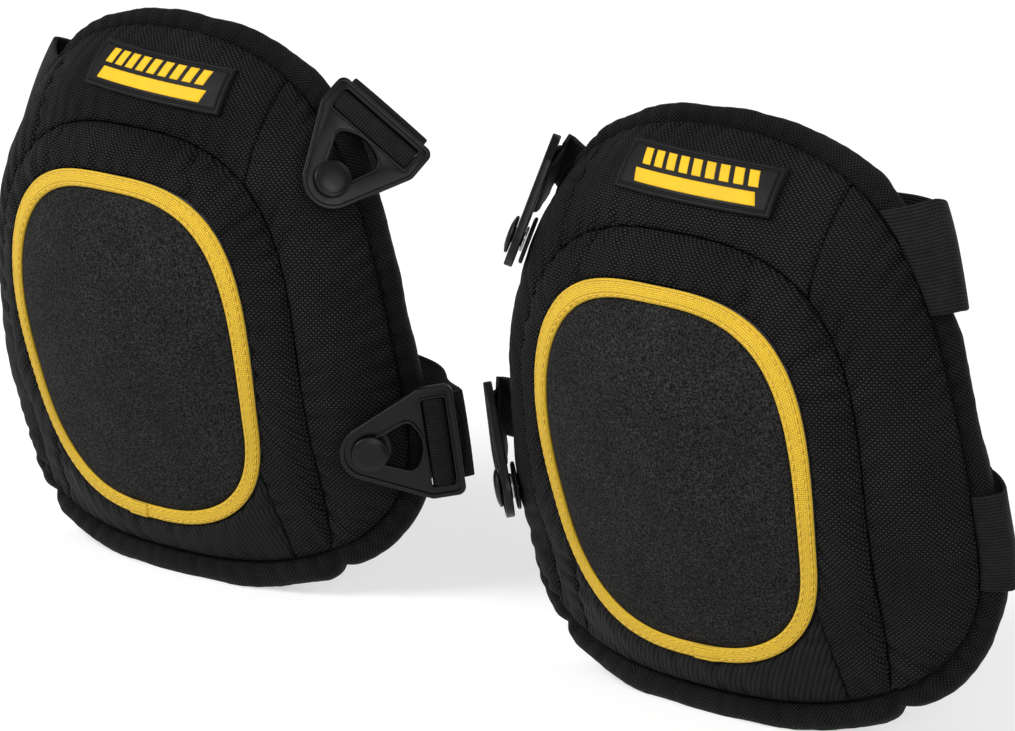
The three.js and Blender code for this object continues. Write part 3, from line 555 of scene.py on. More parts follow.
def new_object(name, data):
    obj = bpy.data.objects.new(name, data)
    bpy.context.scene.collection.objects.link(obj)
    return obj


def mesh_of(name, points, faces, uvs, smooth=True):
    """A mesh from points, faces and a UV pair for each point, with its doubles merged, its
    poles and seams closed, and its normals outwards."""
    mesh = bpy.data.meshes.new(name)
    sizes = np.array([len(face) for face in faces])
    corners = np.concatenate([np.asarray(face) for face in faces]).astype(np.int32)
    starts = np.concatenate([[0], np.cumsum(sizes)[:-1]]).astype(np.int32)
    mesh.vertices.add(len(points))
    mesh.vertices.foreach_set("co", np.asarray(points, np.float32).ravel())
    mesh.loops.add(len(corners))
    mesh.loops.foreach_set("vertex_index", corners)
    mesh.polygons.add(len(sizes))
    mesh.polygons.foreach_set("loop_start", starts)
    mesh.update(calc_edges=True)
    layer = mesh.uv_layers.new(name="UVMap")
    layer.data.foreach_set("uv", np.asarray(uvs, np.float32)[corners].ravel())
    work = bmesh.new()
    work.from_mesh(mesh)
    bmesh.ops.remove_doubles(work, verts=work.verts, dist=2e-6)
    bmesh.ops.dissolve_degenerate(work, edges=work.edges, dist=1e-7)
    bmesh.ops.recalc_face_normals(work, faces=work.faces)
    work.to_mesh(mesh)
    work.free()
    if smooth:
        mesh.shade_smooth()
    return mesh


def grid_faces(shape, caps=False):
    """The cells of a grid, and with caps a face that closes each of its two sides."""
    index = np.arange(shape[0] * shape[1]).reshape(shape[:2])
    return list(quads(index)) + ([index[:-1, 0][::-1], index[:-1, -1]] if caps else [])


def joined(parts):
    """Several sets of points and faces as one set."""
    counts = np.cumsum([0] + [len(points) for points, _ in parts])
    faces = [face + count for count, (_, part) in zip(counts, parts) for face in part]
    return np.concatenate([points for points, _ in parts]), faces


def shell(name, grid, uv, caps=False):
    """An object from a grid of points. Its first and last row and column meet, or are poles,
    or with caps the first and last column are closed by a face each."""
    faces = grid_faces(grid.shape, caps)
    return new_object(name, mesh_of(name, grid.reshape(-1, 3), faces, uv.reshape(-1, 2)))


def uv_grid(along, across):
    return np.stack(np.broadcast_arrays(along[None, :], across[:, None]), -1) * MM


def pattern_shell(name, side, span, height, rise, caps=False):
    """A shell over places on the pattern, none of them under the floor, whose UVs are the
    span and height in metres."""
    points, _ = bent(span, height, rise)
    points[..., 2] = np.maximum(points[..., 2], 0)
    return shell(name, on_pad(points, side), np.stack([span, height], -1) * MM, caps)


def give(obj, body, name, *nodes, fill=None):
    """Finishes a piece: its material, the body that it rides on, if it is one alone, and the
    nodes that it replaces. How full it is padded is given but not used."""
    obj.data.materials.clear()
    obj.data.materials.append(finish(name))
    if body:
        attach(obj, body)
    if nodes:
        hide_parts(*nodes)


# Materials


class Value:
    """What a node gives. Arithmetic on it adds more nodes."""

    def __init__(self, made, socket):
        self.made, self.socket = made, socket

    def maths(self, operation, *others):
        inputs = dict(enumerate((self, *others)))
        return self.made.node("Math", operation=operation, inputs=inputs)

    def __add__(self, other):
        return self.maths("ADD", other)

    def __sub__(self, other):
        return self.maths("SUBTRACT", other)

    def __mul__(self, other):
        return self.maths("MULTIPLY", other)

    def __pow__(self, other):
        return self.maths("POWER", other)

    def __abs__(self):
        return self.maths("ABSOLUTE")

    def wave(self, pitch):
        """The sine of a length, once round for two pitches."""
        return (self * (np.pi / pitch)).maths("SINE")

    def spread(self, low, high, to_low=0.0, to_high=1.0):
        """Maps the value from low..high to to_low..to_high, held at the ends."""
        return self.made.node("MapRange", inputs={0: self, 1: low, 2: high, 3: to_low, 4: to_high})


class Finish:
    """A material under the making: its nodes, its shader and short ways to add nodes."""

    def __init__(self, name, colour, roughness, **sockets):
        self.material = bpy.data.materials.new(name)
        self.material.use_nodes = True
        self.tree = self.material.node_tree
        self.shader = self.tree.nodes["Principled BSDF"]
        self.colour = tuple(colour)
        self.shade(Base_Color=(*colour, 1), Roughness=roughness, **sockets)

    def set(self, node, socket, value):
        if isinstance(value, Value):
            self.tree.links.new(value.socket, node.inputs[socket])
        else:
            node.inputs[socket].default_value = value

    def shade(self, **sockets):
        for socket, value in sockets.items():
            self.set(self.shader, socket.replace("_", " "), value)

    def node(self, kind, output=0, inputs=(), **facts):
        node = self.tree.nodes.new("ShaderNode" + kind)
        for fact, value in facts.items():
            setattr(node, fact, value)
        for socket, value in dict(inputs).items():
            self.set(node, socket, value)
        return Value(self, node.outputs[output])

    def uv(self):
        place = self.node("UVMap", uv_map="UVMap")
        return [self.node("SeparateXYZ", output=k, inputs={0: place}) for k in (0, 1)]

    def place(self):
        return self.node("TexCoord", output="Object")

    def noise(self, scale, detail=3.0, rough=0.5, place=None):
        inputs = {"Vector": place or self.place(), "Scale": scale, "Detail": detail, "Roughness": rough}
        return self.node("TexNoise", inputs=inputs)

    def tint(self, share, low, high):
        """Paints with a colour between low and high times the finish's own colour."""
        ends = [(*(min(c * k, 1) for c in self.colour), 1) for k in (low, high)]
        inputs = {0: share, 6: ends[0], 7: ends[1]}
        self.shade(Base_Color=self.node("Mix", output=2, data_type="RGBA", inputs=inputs))

    def bump(self, height, distance, strength):
        """Adds the relief and returns the finished material."""
        inputs = {"Height": height, "Distance": distance, "Strength": strength}
        self.shade(Normal=self.node("Bump", inputs=inputs))
        return self.material


def weave_height(made, first, second, pitch):
    """The relief of a plain weave. In each cell of the pitch one yarn passes over the other:
    a hump that is round across the upper yarn and long along it. Returned with a painted
    highlight: the share of the light that the yarn is painted as catching, most on the weft yarn,
    which is twisted less and shines more, a fifth as much on the warp, and none between the yarns."""
    a, b = first.wave(pitch), second.wave(pitch)
    over = (a * b).maths("GREATER_THAN", 0.0)
    a, b = abs(a), abs(b)
    warp, weft = a * b ** 0.35, a ** 0.35 * b
    painted_highlight = made.node("Mix", inputs={0: over, 2: weft, 3: warp * 0.2})
    return made.node("Mix", inputs={0: over, 2: weft, 3: warp}), painted_highlight


def woven_nylon(name, colour, pitch):
    """Coarse plain weave with painted light: painted shade makes it black between the yarns,
    and painted highlights make short pale dashes where the weft lies on top, a little uneven."""
    made = Finish(name, colour, 0.6, Specular_IOR_Level=0.07)
    drift = made.noise(60, 2).spread(0.3, 0.7, -0.00035, 0.00035)
    u, v = (part + drift for part in made.uv())
    height, painted_highlight = weave_height(made, u, v, pitch)
    patchy = made.noise(28, 3).spread(0.3, 0.7, 0.7, 1.2)
    # Painted light: painted highlights lift the colour up to nine times where the weft lies on top, and
    # painted shade takes it down to a tenth between the yarns.
    made.tint(painted_highlight * patchy, 0.1, 9.0)
    made.shade(Roughness=height.spread(0.0, 1.0, 0.85, 0.45))
    return made.bump(height, 0.0006, 1.0)


def ribbed_nylon(name, colour, pitch):
    """Slanted ribs of fine yarn, painted paler on the ribs as highlights and darker between them as shade.
    """
    made = Finish(name, colour, 0.6, Specular_IOR_Level=0.07)
    u, v = made.uv()
    rib, yarn = abs((u + v * 0.35).wave(pitch)), abs(v.wave(pitch / 2.4))
    height = rib ** 0.6 + yarn * 0.35
    # Painted light: the colour follows the ribs' height, with painted highlights on their tops and painted
    # shade in the grooves.
    made.tint(height * 0.74, 0.15, 2.6)
    return made.bump(height, 0.0005, 1.0)


def soft_lining(name, colour, pitch=0.0017):
    """Brushed knit: fine fibres over faint loops."""
    made = Finish(name, colour, 0.9, Sheen_Weight=0.5, Sheen_Roughness=0.6, Specular_IOR_Level=0.2)
    loops, _ = weave_height(made, *made.uv(), pitch)
    height = loops * 0.6 + made.noise(1700, 4, 0.65)
    made.tint(height.spread(0.4, 1.3), 0.55, 1.6)
    return made.bump(height, 0.0004, 0.7)


def padding_foam(name, colour):
    """Closed-cell foam: small round cells."""
    made = Finish(name, colour, 0.9)
    cells = made.node("TexVoronoi", inputs={"Vector": made.place(), "Scale": 900.0})
    made.tint(cells.spread(0.0, 0.6), 0.8, 1.2)
    return made.bump(cells, 0.0003, 0.5)


def grip_rubber(name, colour):
    """Grained rubber: small rounded grains in two sizes, with painted shade in the hollows between them and
    painted highlights on the highest grains.
    """
    made = Finish(name, colour, 0.75, Specular_IOR_Level=0.12)
    place = made.place()
    height = made.noise(1350, 2, 0.6, place) + made.noise(2800, 2, 0.5, place) * 0.5
    patchy = made.noise(45, 2).spread(0.3, 0.7, 0.75, 1.15)
    # Painted light: the grains' height sets the colour, a quarter of it in the hollows as painted shade and
    # up to four times it on the highest grains as painted highlights; the patches are uneven tone.
    made.tint(height.spread(0.66, 0.98) * patchy, 0.25, 4.4)
    made.shade(Roughness=height.spread(0.6, 1.0, 0.9, 0.6))
    return made.bump(height, 0.0007, 1.0)


def yellow_tape(name, colour, stitch_pitch, mesh_pitch=0.00075, row_offset=0.0019):
    """Knitted tape: a fine mesh of ribs and holes, with painted highlights on the ribs and painted
    shade in the holes, soiled in places, and a dent with small needle holes, painted dark as shade, along
    each row of stitches."""
    made = Finish(name, colour, 0.7, Sheen_Weight=0.1, Specular_IOR_Level=0.25)
    along, across = made.uv()
    mesh, _ = weave_height(made, along, across, mesh_pitch)
    from_row = abs(abs(across) - row_offset)
    dent = from_row.spread(0.0, 0.0006, 0.0, 1.0)
    needles = along.wave(stitch_pitch / 2).spread(0.6, 0.95)
    holes = from_row.spread(0.0, 0.00045, 0.45, 0.0) * needles
    soil = made.noise(160, 4).spread(0.35, 0.75) * 0.12
    # Painted light: the knit's height lightens the ribs and darkens the gaps, and painted shade darkens the
    # needle holes beside the stitch rows; the soil is uneven dirt.
    made.tint(mesh * 0.8 + 0.38 - holes - soil, 0.45, 1.06)
    return made.bump(mesh * 0.6 + dent, 0.0005, 0.9)


def sewing_thread(name, colour):
    """Twisted thread."""
    made = Finish(name, colour, 0.55, Sheen_Weight=0.2)
    twist = made.noise(2600, 2)
    made.tint(twist, 0.7, 1.3)
    return made.bump(twist, 0.0001, 0.6)


def soft_rubber(name, colour, roughness=0.5):
    """Moulded soft rubber: a faint grain and rubbed patches."""
    made = Finish(name, colour, roughness, Specular_IOR_Level=0.14)
    rubbed = made.noise(90, 4)
    made.tint(rubbed, 0.85, 1.25)
    made.shade(Roughness=rubbed.spread(0.3, 0.7, roughness - 0.07, roughness + 0.1))
    return made.bump(made.noise(2200, 3), 0.00005, 0.5)


def elastic_webbing(name, colour, pitch):
    """Elastic webbing: cords along its length, crossed by fine yarn between them, with painted highlights on
    the cords and painted shade between them.
    """
    made = Finish(name, colour, 0.62, Specular_IOR_Level=0.09)
    along, across = made.uv()
    height = abs(across.wave(pitch)) ** 0.7 + abs(along.wave(pitch * 0.75)) * 0.5
    # Painted light: the colour follows the cords' height, with painted highlights on their tops and painted
    # shade between them, a little uneven.
    made.tint(height * made.noise(150, 4).spread(0.3, 0.7, 0.5, 0.8), 0.2, 3.2)
    return made.bump(height, 0.0004, 1.0)


def moulded_plastic(name, colour, roughness=0.32):
    """Satin moulded plastic: fine spark texture, scuffed here and there."""
    made = Finish(name, colour, roughness, Specular_IOR_Level=0.24)
    scuffs = made.noise(140, 6, 0.7)
    made.tint(scuffs.spread(0.45, 0.75), 0.8, 1.9)
    made.shade(Roughness=scuffs.spread(0.35, 0.75, roughness, roughness + 0.14))
    return made.bump(made.noise(1800, 3), 0.00004, 0.6)


def plated_metal(name, colour):
    """Turned and plated metal, a little dull in places."""
    made = Finish(name, colour, 0.22, Metallic=1.0)
    dull = made.noise(400, 4)
    made.tint(dull, 0.8, 1.15)
    made.shade(Roughness=dull.spread(0.3, 0.7, 0.16, 0.34))
    return made.material


finishes = {}


def finish(name):
    """The finish of that name, made the first time that it is asked for."""
    colours, sewing = settings("pad_colours"), settings("pad_sewing")
    border_colour = [c * 0.9 for c in colours.nylon]
    kinds = {
        "woven_nylon": (woven_nylon, colours.nylon, sewing.weave_pitch),
        "border_nylon": (woven_nylon, border_colour, sewing.weave_pitch * 0.8),
        "ribbed_nylon": (ribbed_nylon, colours.ribbed, sewing.rib_pitch),
        "soft_lining": (soft_lining, colours.lining),
        "padding_foam": (padding_foam, colours.foam),
        "grip_rubber": (grip_rubber, colours.rubber),
        "yellow_tape": (yellow_tape, colours.tape, sewing.stitch_pitch),
        "tape_thread": (sewing_thread, colours.thread),
        "label_rubber": (soft_rubber, colours.label),
        "label_motif": (soft_rubber, colours.motif, 0.55),
        "elastic_webbing": (elastic_webbing, colours.webbing, settings("pad_fittings").webbing_rib),
        "moulded_plastic": (moulded_plastic, colours.plastic),
        "plated_metal": (plated_metal, colours.metal),
    }
    if name not in finishes:
        kind, *facts = kinds[name]
        finishes[name] = kind(name, *facts)
    return finishes[name]


# Operators


class PieceOperator(bpy.types.Operator):
    """Makes pieces of the knee pads, for each pad in turn."""
    bl_options = {"REGISTER", "UNDO"}

    def execute(self, context):
        for side in PAD_SIDES:
            self.make(side)
        return {"FINISHED"}


COLUMNS = np.linspace(0, FULL_TURN, 641)
COLUMNS_PER_SECTOR = 20
PANEL_GAP = 0.012
PANEL_BACK, PANEL_LEAST = 0.3, 0.9
# Rows across a panel, closer together at its seams.
EVEN_ROWS = np.linspace(0, 1, 40)
PANEL_ROWS = 0.6 * (1 - np.cos(np.pi * EVEN_ROWS)) / 2 + 0.4 * EVEN_ROWS


def make_panel(side, name, ring, ends, cloth, fill, reach=8, grow=(0.0, CLEARANCE), nodes=()):
    """A panel with its foam: the fabric in front, a flat back, and walls down its seams."""
    count = int(round((ends[1] - ends[0]) * COLUMNS_PER_SECTOR)) + 1
    sectors = np.linspace(ends[0] + PANEL_GAP, ends[1] - PANEL_GAP, count)
    span, height, rise = fabric(ring, PANEL_ROWS, sectors, grow, reach, side)
    rise = np.maximum(rise - end_dips(ring, ends, span, height), PANEL_LEAST)
    flat = lay(ring, (1.0, 0.0), sectors, grow)
    grids = [
        np.concatenate([front, back, front[:1]])
        for front, back in zip((span, height, rise), (*flat[:2], np.full_like(flat[2], PANEL_BACK)))
    ]
    obj = pattern_shell(f"{side}_{name}", side, *grids, caps=True)
    give(obj, "pads", cloth, f"{side}_{name}", *nodes, fill=fill)


class MakePadding(PieceOperator):
    """The foam base, in place of the foam core and the gel insert, and the foam of the cushion under the
    grip patch.
    """
    bl_idname = "knee_pads.padding"
    bl_label = "Padding"

    def make(self, side):
        sectors, shares = COLUMNS[::5], np.linspace(0, 1, 7)
        rows = [lay(ring, shares, sectors)[:2] for ring in (R_CENTRE, R_TAPE, R_ARCH)]
        span, height = (np.concatenate(part) for part in zip(*rows))
        front, back = (0.2 * waves(span, height, seed, (30, 60)) for seed in SEEDS["foam"])
        back = back[::-1] + LINER_THICKNESS + CLEARANCE - PAD_DEPTH
        rise = np.concatenate([-CLEARANCE - front, back])
        base = pattern_shell(f"{side}_foam_base", side, *there_and_back(span, height), rise)
        give(base, "pads", "padding_foam", f"{side}_foam_core", f"{side}_gel_insert", fill=0.9)
        rows = [lay(R_CENTRE, shares, sectors)[:3], lay(R_PATCH, (0.5, 1.0), sectors)[:3]]
        span, height, rise = (np.concatenate(part) for part in zip(*rows))
        top = rise - PATCH_THICKNESS - 2 * CLEARANCE
        rises = np.concatenate([top, 0 * top])
        cushion = pattern_shell(f"{side}_knee_foam", side, *there_and_back(span, height), rises)
        give(cushion, "pads", "padding_foam", f"{side}_cushion_foam", fill=0.9)


class MakeCushion(PieceOperator):
    """The puffed cover of the knee cushion, and the ribbed panel under the patch."""
    bl_idname = "knee_pads.cushion"
    bl_label = "Knee cushion"

    def make(self, side):
        grow = (CLEARANCE, -CLEARANCE)
        ends = (FOOT, FULL_TURN - FOOT)
        make_panel(side, "cushion_cover", R_TAPE, ends, "woven_nylon", 0.85, grow=grow)
        make_panel(side, "lower_panel", R_TAPE, (-FOOT, FOOT), "ribbed_nylon", 0.85, 5, grow)


class MakePanels(PieceOperator):
    """The panels between the arch seam and the rim seam, with their foam."""
    bl_idname = "knee_pads.panels"
    bl_label = "Side and top panels"

    def make(self, side):
        foam = (f"{side}_surround_foam",)
        ends = {
            "top_panel": (DART, FULL_TURN - DART, foam),
            "clip_side_panel": (LEG, DART, ()),
            "strap_side_panel": (FULL_TURN - DART, FULL_TURN - LEG, ()),
        }
        for name, (start, end, nodes) in ends.items():
            make_panel(side, name, R_ARCH, (start, end), "woven_nylon", 0.8, nodes=nodes)


class MakeGripPatch(PieceOperator):
    """The crowned rubber grip patch, and the yellow tape sewn round it."""
    bl_idname = "knee_pads.grip_patch"
    bl_label = "Grip patch and tape"
    edge_fall, edge_reach = 0.7, 2.5
    tape_start, tape_spare, tape_sunk, tape_least = -0.55, 0.42, 1.2, 0.35
    row_share, row_dent, row_width = 0.66, 0.25, 0.12

    def make(self, side):
        span, height, rise, _, outer = lay(R_CENTRE, EVEN_ROWS, COLUMNS)
        rise = rise + 0.5 * waves(span, height, SEEDS["patch"], (30, 80))
        rise = rise - self.edge_fall * np.exp(-outer / self.edge_reach)
        rises = np.concatenate([rise, rise[::-1] - PATCH_THICKNESS])
        patch = pattern_shell(f"{side}_grip_patch", side, *there_and_back(span, height), rises)
        give(patch, "pads", "grip_rubber", f"{side}_grip_patch")
        self.make_tape(side)

    def make_tape(self, side):
        """The tape's section is a flat loaf, thin at its woven edges, carried round the patch
        a little past where it starts, so that its end lies on its start."""
        turned = self.tape_start + FULL_TURN
        sectors = np.linspace(self.tape_start, turned + self.tape_spare, 900)
        across = np.linspace(-1, 1, 15)
        span, height, rise, _, _ = lay(R_PATCH, (across + 1) / 2, sectors, (CLEARANCE, 0))
        over = np.clip((sectors - turned) / 0.05 + 0.5, 0, 1)
        sewn = self.row_dent * np.exp(-((np.abs(across) - self.row_share) / self.row_width) ** 2)
        crown = (TAPE_PROUD * (1 - across ** 6) - sewn)[:, None]
        ripple = 0.12 * waves(span, height, SEEDS["tape"], (6, 14))
        top = rise + crown + ripple + 0.9 * over
        bottom = np.minimum(rise - self.tape_sunk + over, top - self.tape_least)
        grids = [closed_round(*pair) for pair in ((span, span), (height, height), (top, bottom))]
        wide = closed_round(across, across) * TAPE_WIDTH / 2
        uv = uv_grid(length_at(R_PATCH, sectors), wide)
        tape = shell(f"{side}_patch_trim", on_pad(bent(*grids)[0], side), uv, caps=True)
        give(tape, "pads", "yellow_tape", f"{side}_patch_trim")


class MakeBorder(PieceOperator):
    """The padded border outside the rim seam, and the lining at the back."""
    bl_idname = "knee_pads.border"
    bl_label = "Border and lining"
    girth, bulge_rest = 30, 25
    bulges = ((1.0, (14, 40)), (0.3, (5, 11)))
    pleat_place, pleat_depth, pleat_reach = (86.5, 14.0), 5.0, 3.6
    stud_reach, stud_calm = 14, 2.9
    wall_rises = (0.4 - PAD_DEPTH, 0.2)
    wall_girths = (44, 56, 60)

    def make(self, side):
        shares = np.linspace(0, 1, 44)
        across, rise = border_section(shares)
        inner, outer = ring_place(R_SEAM, COLUMNS, -2 * CLEARANCE), ring_place(R_RIM, COLUMNS)
        moved = self.relief(side, shares, across, rise, outer)
        normal = np.stack([-np.gradient(rise), np.gradient(across) * EDGE_WIDTH], -1)
        normal = unit(normal) * np.sign(normal[1][1])
        flat = [
            between(near, far, across[:, None]) + (far - near) / EDGE_WIDTH * normal[:, :1] * moved
            for near, far in zip(inner, outer)
        ]
        lifted = rise[:, None] + normal[:, 1:] * moved
        span, height = (np.concatenate([f, [near, near], f[:1]]) for f, near in zip(flat, inner))
        walls = np.repeat(np.array(self.wall_rises)[:, None], len(COLUMNS), 1)
        points, _ = bent(span, height, np.concatenate([lifted, walls, lifted[:1]]))
        points[..., 2] = np.maximum(points[..., 2], 0)
        steps = np.gradient(np.stack([across * EDGE_WIDTH, rise]), axis=1)
        girth = np.concatenate([np.cumsum(np.hypot(*steps)), self.wall_girths])
        uv = uv_grid(length_at(R_SEAM, COLUMNS), girth)
        border = shell(f"{side}_edge_band", on_pad(points, side), uv)
        give(border, "pads", "border_nylon", f"{side}_edge_band", fill=0.7)
        self.make_lining(side)

    def relief(self, side, shares, across, rise, outer):
        """How far the border stands off its plain section: soft bulges, which keep inside it
        near the studs, less the dip at the rim seam and a deep pleat at each foot."""
        length = length_at(R_SEAM, COLUMNS)
        full = np.sin(np.pi * shares)[:, None]
        soft = sum(
            high * waves(length[None, :], shares[:, None] * self.girth, SEEDS["border"] + k, lengths)
            for k, (high, lengths) in enumerate(self.bulges)
        )
        rest = np.clip(np.minimum(length, length[-1] - length) / self.bulge_rest, 0, 1)
        bulge = full * soft * rest
        far = [np.hypot(outer[0] - s, outer[1] - h) for s, h in STUDS[side].values()]
        calm = np.clip(np.min(far, 0) / self.stud_reach - self.stud_calm, 0, 1)
        bulge = np.minimum(bulge, 0) + np.maximum(bulge, 0) * calm
        front = np.clip((rise + 1) / 3, 0, 1)[:, None]
        distance = across[:, None] * EDGE_WIDTH
        dip = seam_dip(distance, length[None, :], SEEDS["border_seam"], END_REACH) * front
        pleat_span, pleat_height = self.pleat_place
        pleat = sum(
            np.exp(-np.hypot(outer[0] - s * pleat_span, outer[1] - pleat_height) / self.pleat_reach)
            for s in (-1, 1)
        )
        return bulge - dip - self.pleat_depth * pleat * full

    def make_lining(self, side):
        sectors, shares = COLUMNS[::2], np.linspace(0, 1, 30)
        rows = [lay(ring, shares, sectors)[:2] for ring in (R_CENTRE, R_TAPE, R_ARCH)]
        span, height = (np.concatenate(part) for part in zip(*rows))
        seam = ring_place(R_SEAM, sectors)
        edge = np.hypot(span - seam[0], height - seam[1])
        full = 1.6 * np.clip(edge / 14, 0, 1) ** 0.5
        full = full + 0.7 * waves(span, height, SEEDS["lining"], (24, 60))
        along = length_at(R_SEAM, sectors)[None, :]
        dip = 0.8 * seam_dip(edge, along, SEEDS["lining_seam"], END_REACH)
        back = dip - full - PAD_DEPTH
        rise = np.concatenate([back, np.full_like(back, LINER_THICKNESS - PAD_DEPTH)])
        lining = pattern_shell(f"{side}_liner", side, *there_and_back(span, height), rise)
        give(lining, "pads", "soft_lining", f"{side}_liner")


LABEL_SLANT, LABEL_SEAT = -0.5, 0.6
PLATE_RISE, PLATE_SUNK, MOTIF_RISE, MOTIF_SUNK, MOTIF_EDGE = 0.7, 0.8, 1.15, 1.0, 0.55


def label_places(side, u, v):
    """Span and height of label places: u across and v up, each from -1 to 1, slanted and
    tilted."""
    hand = -PAD_SIDES[side]
    fall = hand * LABEL_HALF[0] * np.tan(np.radians(LABEL_TILTS[side]))
    span = LABEL_OFFSETS[side] + u * LABEL_HALF[0] + hand * v * LABEL_SLANT
    return span, LABEL_HEIGHT + v * LABEL_HALF[1] - u * fall


class MakeLabel(PieceOperator):
    """The slanted rubber label: a plate with a raised frame, and a plain raised motif of
    slanted bars over one long bar."""
    bl_idname = "knee_pads.label"
    bl_label = "Label"
    # How far from the plate's edge it steps, over what width, and by how much.
    steps = ((0.2, 0.4, 1.1), (1.5, 0.25, -1.0), (2.3, 0.35, 0.6))
    bar_count, bar_start, bar_pitch, bar_width, bar_levels = 9, -0.76, 0.172, 0.118, (0.03, 0.70)
    long_bar = (-0.80, 0.76, -0.66, -0.13)

    def make(self, side):
        u, v = np.linspace(-1, 1, 217)[None, :], np.linspace(-1, 1, 65)[:, None]
        from_edge = np.minimum((1 - np.abs(u)) * LABEL_HALF[0], (1 - np.abs(v)) * LABEL_HALF[1])
        above = LABEL_SEAT + PLATE_RISE + sum(
            by * np.clip((from_edge - at) / wide + 0.5, 0, 1) for at, wide, by in self.steps)
        span, height = label_places(side, u, v)
        base = skin_rise(span, height)
        rises = closed_round(base + above, base + LABEL_SEAT - PLATE_SUNK)
        places = closed_round(span, span), closed_round(height, height)
        plate = pattern_shell(f"{side}_label", side, *places, rises, caps=True)
        give(plate, "pads", "label_rubber", f"{side}_label")
        starts = self.bar_start + self.bar_pitch * np.arange(self.bar_count)
        bars = [(start, start + self.bar_width, *self.bar_levels) for start in starts]
        blocks = [self.block(side, *edges) for edges in (*bars, self.long_bar)]
        points, faces = joined([(points, faces) for points, faces, _ in blocks])
        uvs = np.concatenate([uv for _, _, uv in blocks])
        mesh = mesh_of(f"{side}_label_motif", points, faces, uvs, smooth=False)
        give(new_object(f"{side}_label_motif", mesh), "pads", "label_motif")

    def block(self, side, u0, u1, v0, v1):
        """One raised block, a grid over the label's surface with bevelled edges."""
        count = 8 + int(60 * (u1 - u0) / 3)
        a = np.array([0, 0.012, *np.linspace(0.04, 0.96, count), 0.988, 1])[None, :]
        b = np.array([0, 0.03, 0.1, 0.5, 0.9, 0.97, 1])[:, None]
        lean = 0.05 * (b - 0.5)
        span, height = label_places(side, between(u0, u1, a) + lean, between(v0, v1, b))
        beside = np.minimum(a, 1 - a) * (u1 - u0) * LABEL_HALF[0]
        inside = np.minimum(beside, np.minimum(b, 1 - b) * (v1 - v0) * LABEL_HALF[1])
        above = LABEL_SEAT + MOTIF_RISE + MOTIF_EDGE * np.clip(inside / 0.25, 0, 1) ** 0.5
        base = skin_rise(span, height)
        grids = closed_round(span, span), closed_round(height, height)
        points, _ = bent(*grids, closed_round(base + above, base + LABEL_SEAT + MOTIF_SUNK))
        uv = np.stack(grids, -1).reshape(-1, 2) * MM
        return on_pad(points, side).reshape(-1, 3), grid_faces(points.shape, caps=True), uv


class MakeStitches(PieceOperator):
    """Two rows of thread on the tape."""
    bl_idname = "knee_pads.stitches"
    bl_label = "Stitches"
    row_shares, lift, plumpness = (0.2, 0.8), 0.5, 1.3
    # Along a stitch: its places, its thickness, and how deep it dives.
    body = np.array([0, 0.04, 0.16, 0.5, 0.84, 0.96, 1.0])
    thick = np.array([0.0, 0.55, 0.95, 1.0, 0.95, 0.55, 0.0])
    dive = np.array([0.55, 0.3, 0.0, 0.0, 0.0, 0.3, 0.55])

    def make(self, side):
        points = np.concatenate([self.row(side, share) for share in self.row_shares])
        index = np.arange(points.size // 3).reshape(points.shape[:3])
        cells = np.concatenate([quads(stitch) for stitch in index])
        name = f"{side}_tape_stitches"
        mesh = mesh_of(name, points.reshape(-1, 3), list(cells), np.zeros((index.size, 2)))
        give(new_object(name, mesh), "pads", "tape_thread")

    def row(self, side, share):
        """Capsules along the tape: each a tube of 6 sides whose ends close."""
        sewing = settings("pad_sewing")
        pitch, length = sewing.stitch_pitch / MM, sewing.stitch_length / MM
        radius = sewing.thread / MM / 2 * self.plumpness
        lengths = length_at(R_PATCH + (share > 0.5), RING_SECTORS)
        places = np.arange(0, lengths[-1] - length, pitch)[:, None] + self.body * length
        sectors = np.interp(places.ravel(), lengths, RING_SECTORS)
        span, height, rise = (part.reshape(places.shape) for part in lay(R_PATCH, (share,), sectors)[:3])
        centre, out = bent(span, height, rise + self.lift - self.dive)
        beside = np.cross(unit(np.gradient(centre, axis=1)), out)[..., None, :]
        turn = np.linspace(0, 2 * np.pi, 7)[:, None]
        round_it = np.cos(turn) * beside * self.plumpness + np.sin(turn) * out[..., None, :]
        thick = (radius * self.thick)[None, :, None, None]
        return on_pad(centre[..., None, :] + round_it * thick, side)


# Clips, studs and webbing, in the frame of a stud: x along the clip, z out of the pad.
CLIP = {
    "half_width": 24.0, "reach": 36.0, "shoulder": 23.0, "nose": 12.0, "nose_angle": 115.0,
    "corner": 3.5, "thickness": 3.4, "base": 3.1,
}
CLIP_MIDDLE = CLIP["base"] + CLIP["thickness"] / 2
WINDOW_START, WINDOW_END, WINDOW_HALF = 22.8, 32.6, 19.1
BAR_START, BAR_END, BAR_HEIGHT = 25.9, 29.5, 1.6
KEYHOLE = {"reach": 21.3, "shoulder": (15.5, 6.6), "radius": 3.6, "end_angle": -30.0}

# Turned profiles of a stud: radius and height.
PLATE_PROFILE = (
    (0, 0), (9.0, 0), (9.4, 0.25), (9.5, 0.8), (9.3, 1.25), (8.6, 1.6), (5.6, 1.6), (5.2, 1.45),
    (0, 1.45),
)
POST_PROFILE = (
    (0, 1.9), (4.6, 1.9), (5.0, 2.1), (5.0, 2.6), (4.7, 2.8), (3.3, 2.85), (3.0, 3.2), (3.0, 6.5),
    (3.2, 6.8), (0, 6.9),
)
HEAD_PROFILE = (
    (0, 6.8), (6.6, 6.8), (7.1, 6.9), (7.42, 7.15), (7.5, 7.5), (7.42, 7.9), (7.1, 8.2),
    (6.7, 8.32), (6.45, 8.36), (6.2, 8.5), (5.0, 8.85), (3.6, 9.07), (2.0, 9.18), (0, 9.2),
)


def joint(name):
    return next(j for j in frame["joints"] if j["name"] == name)


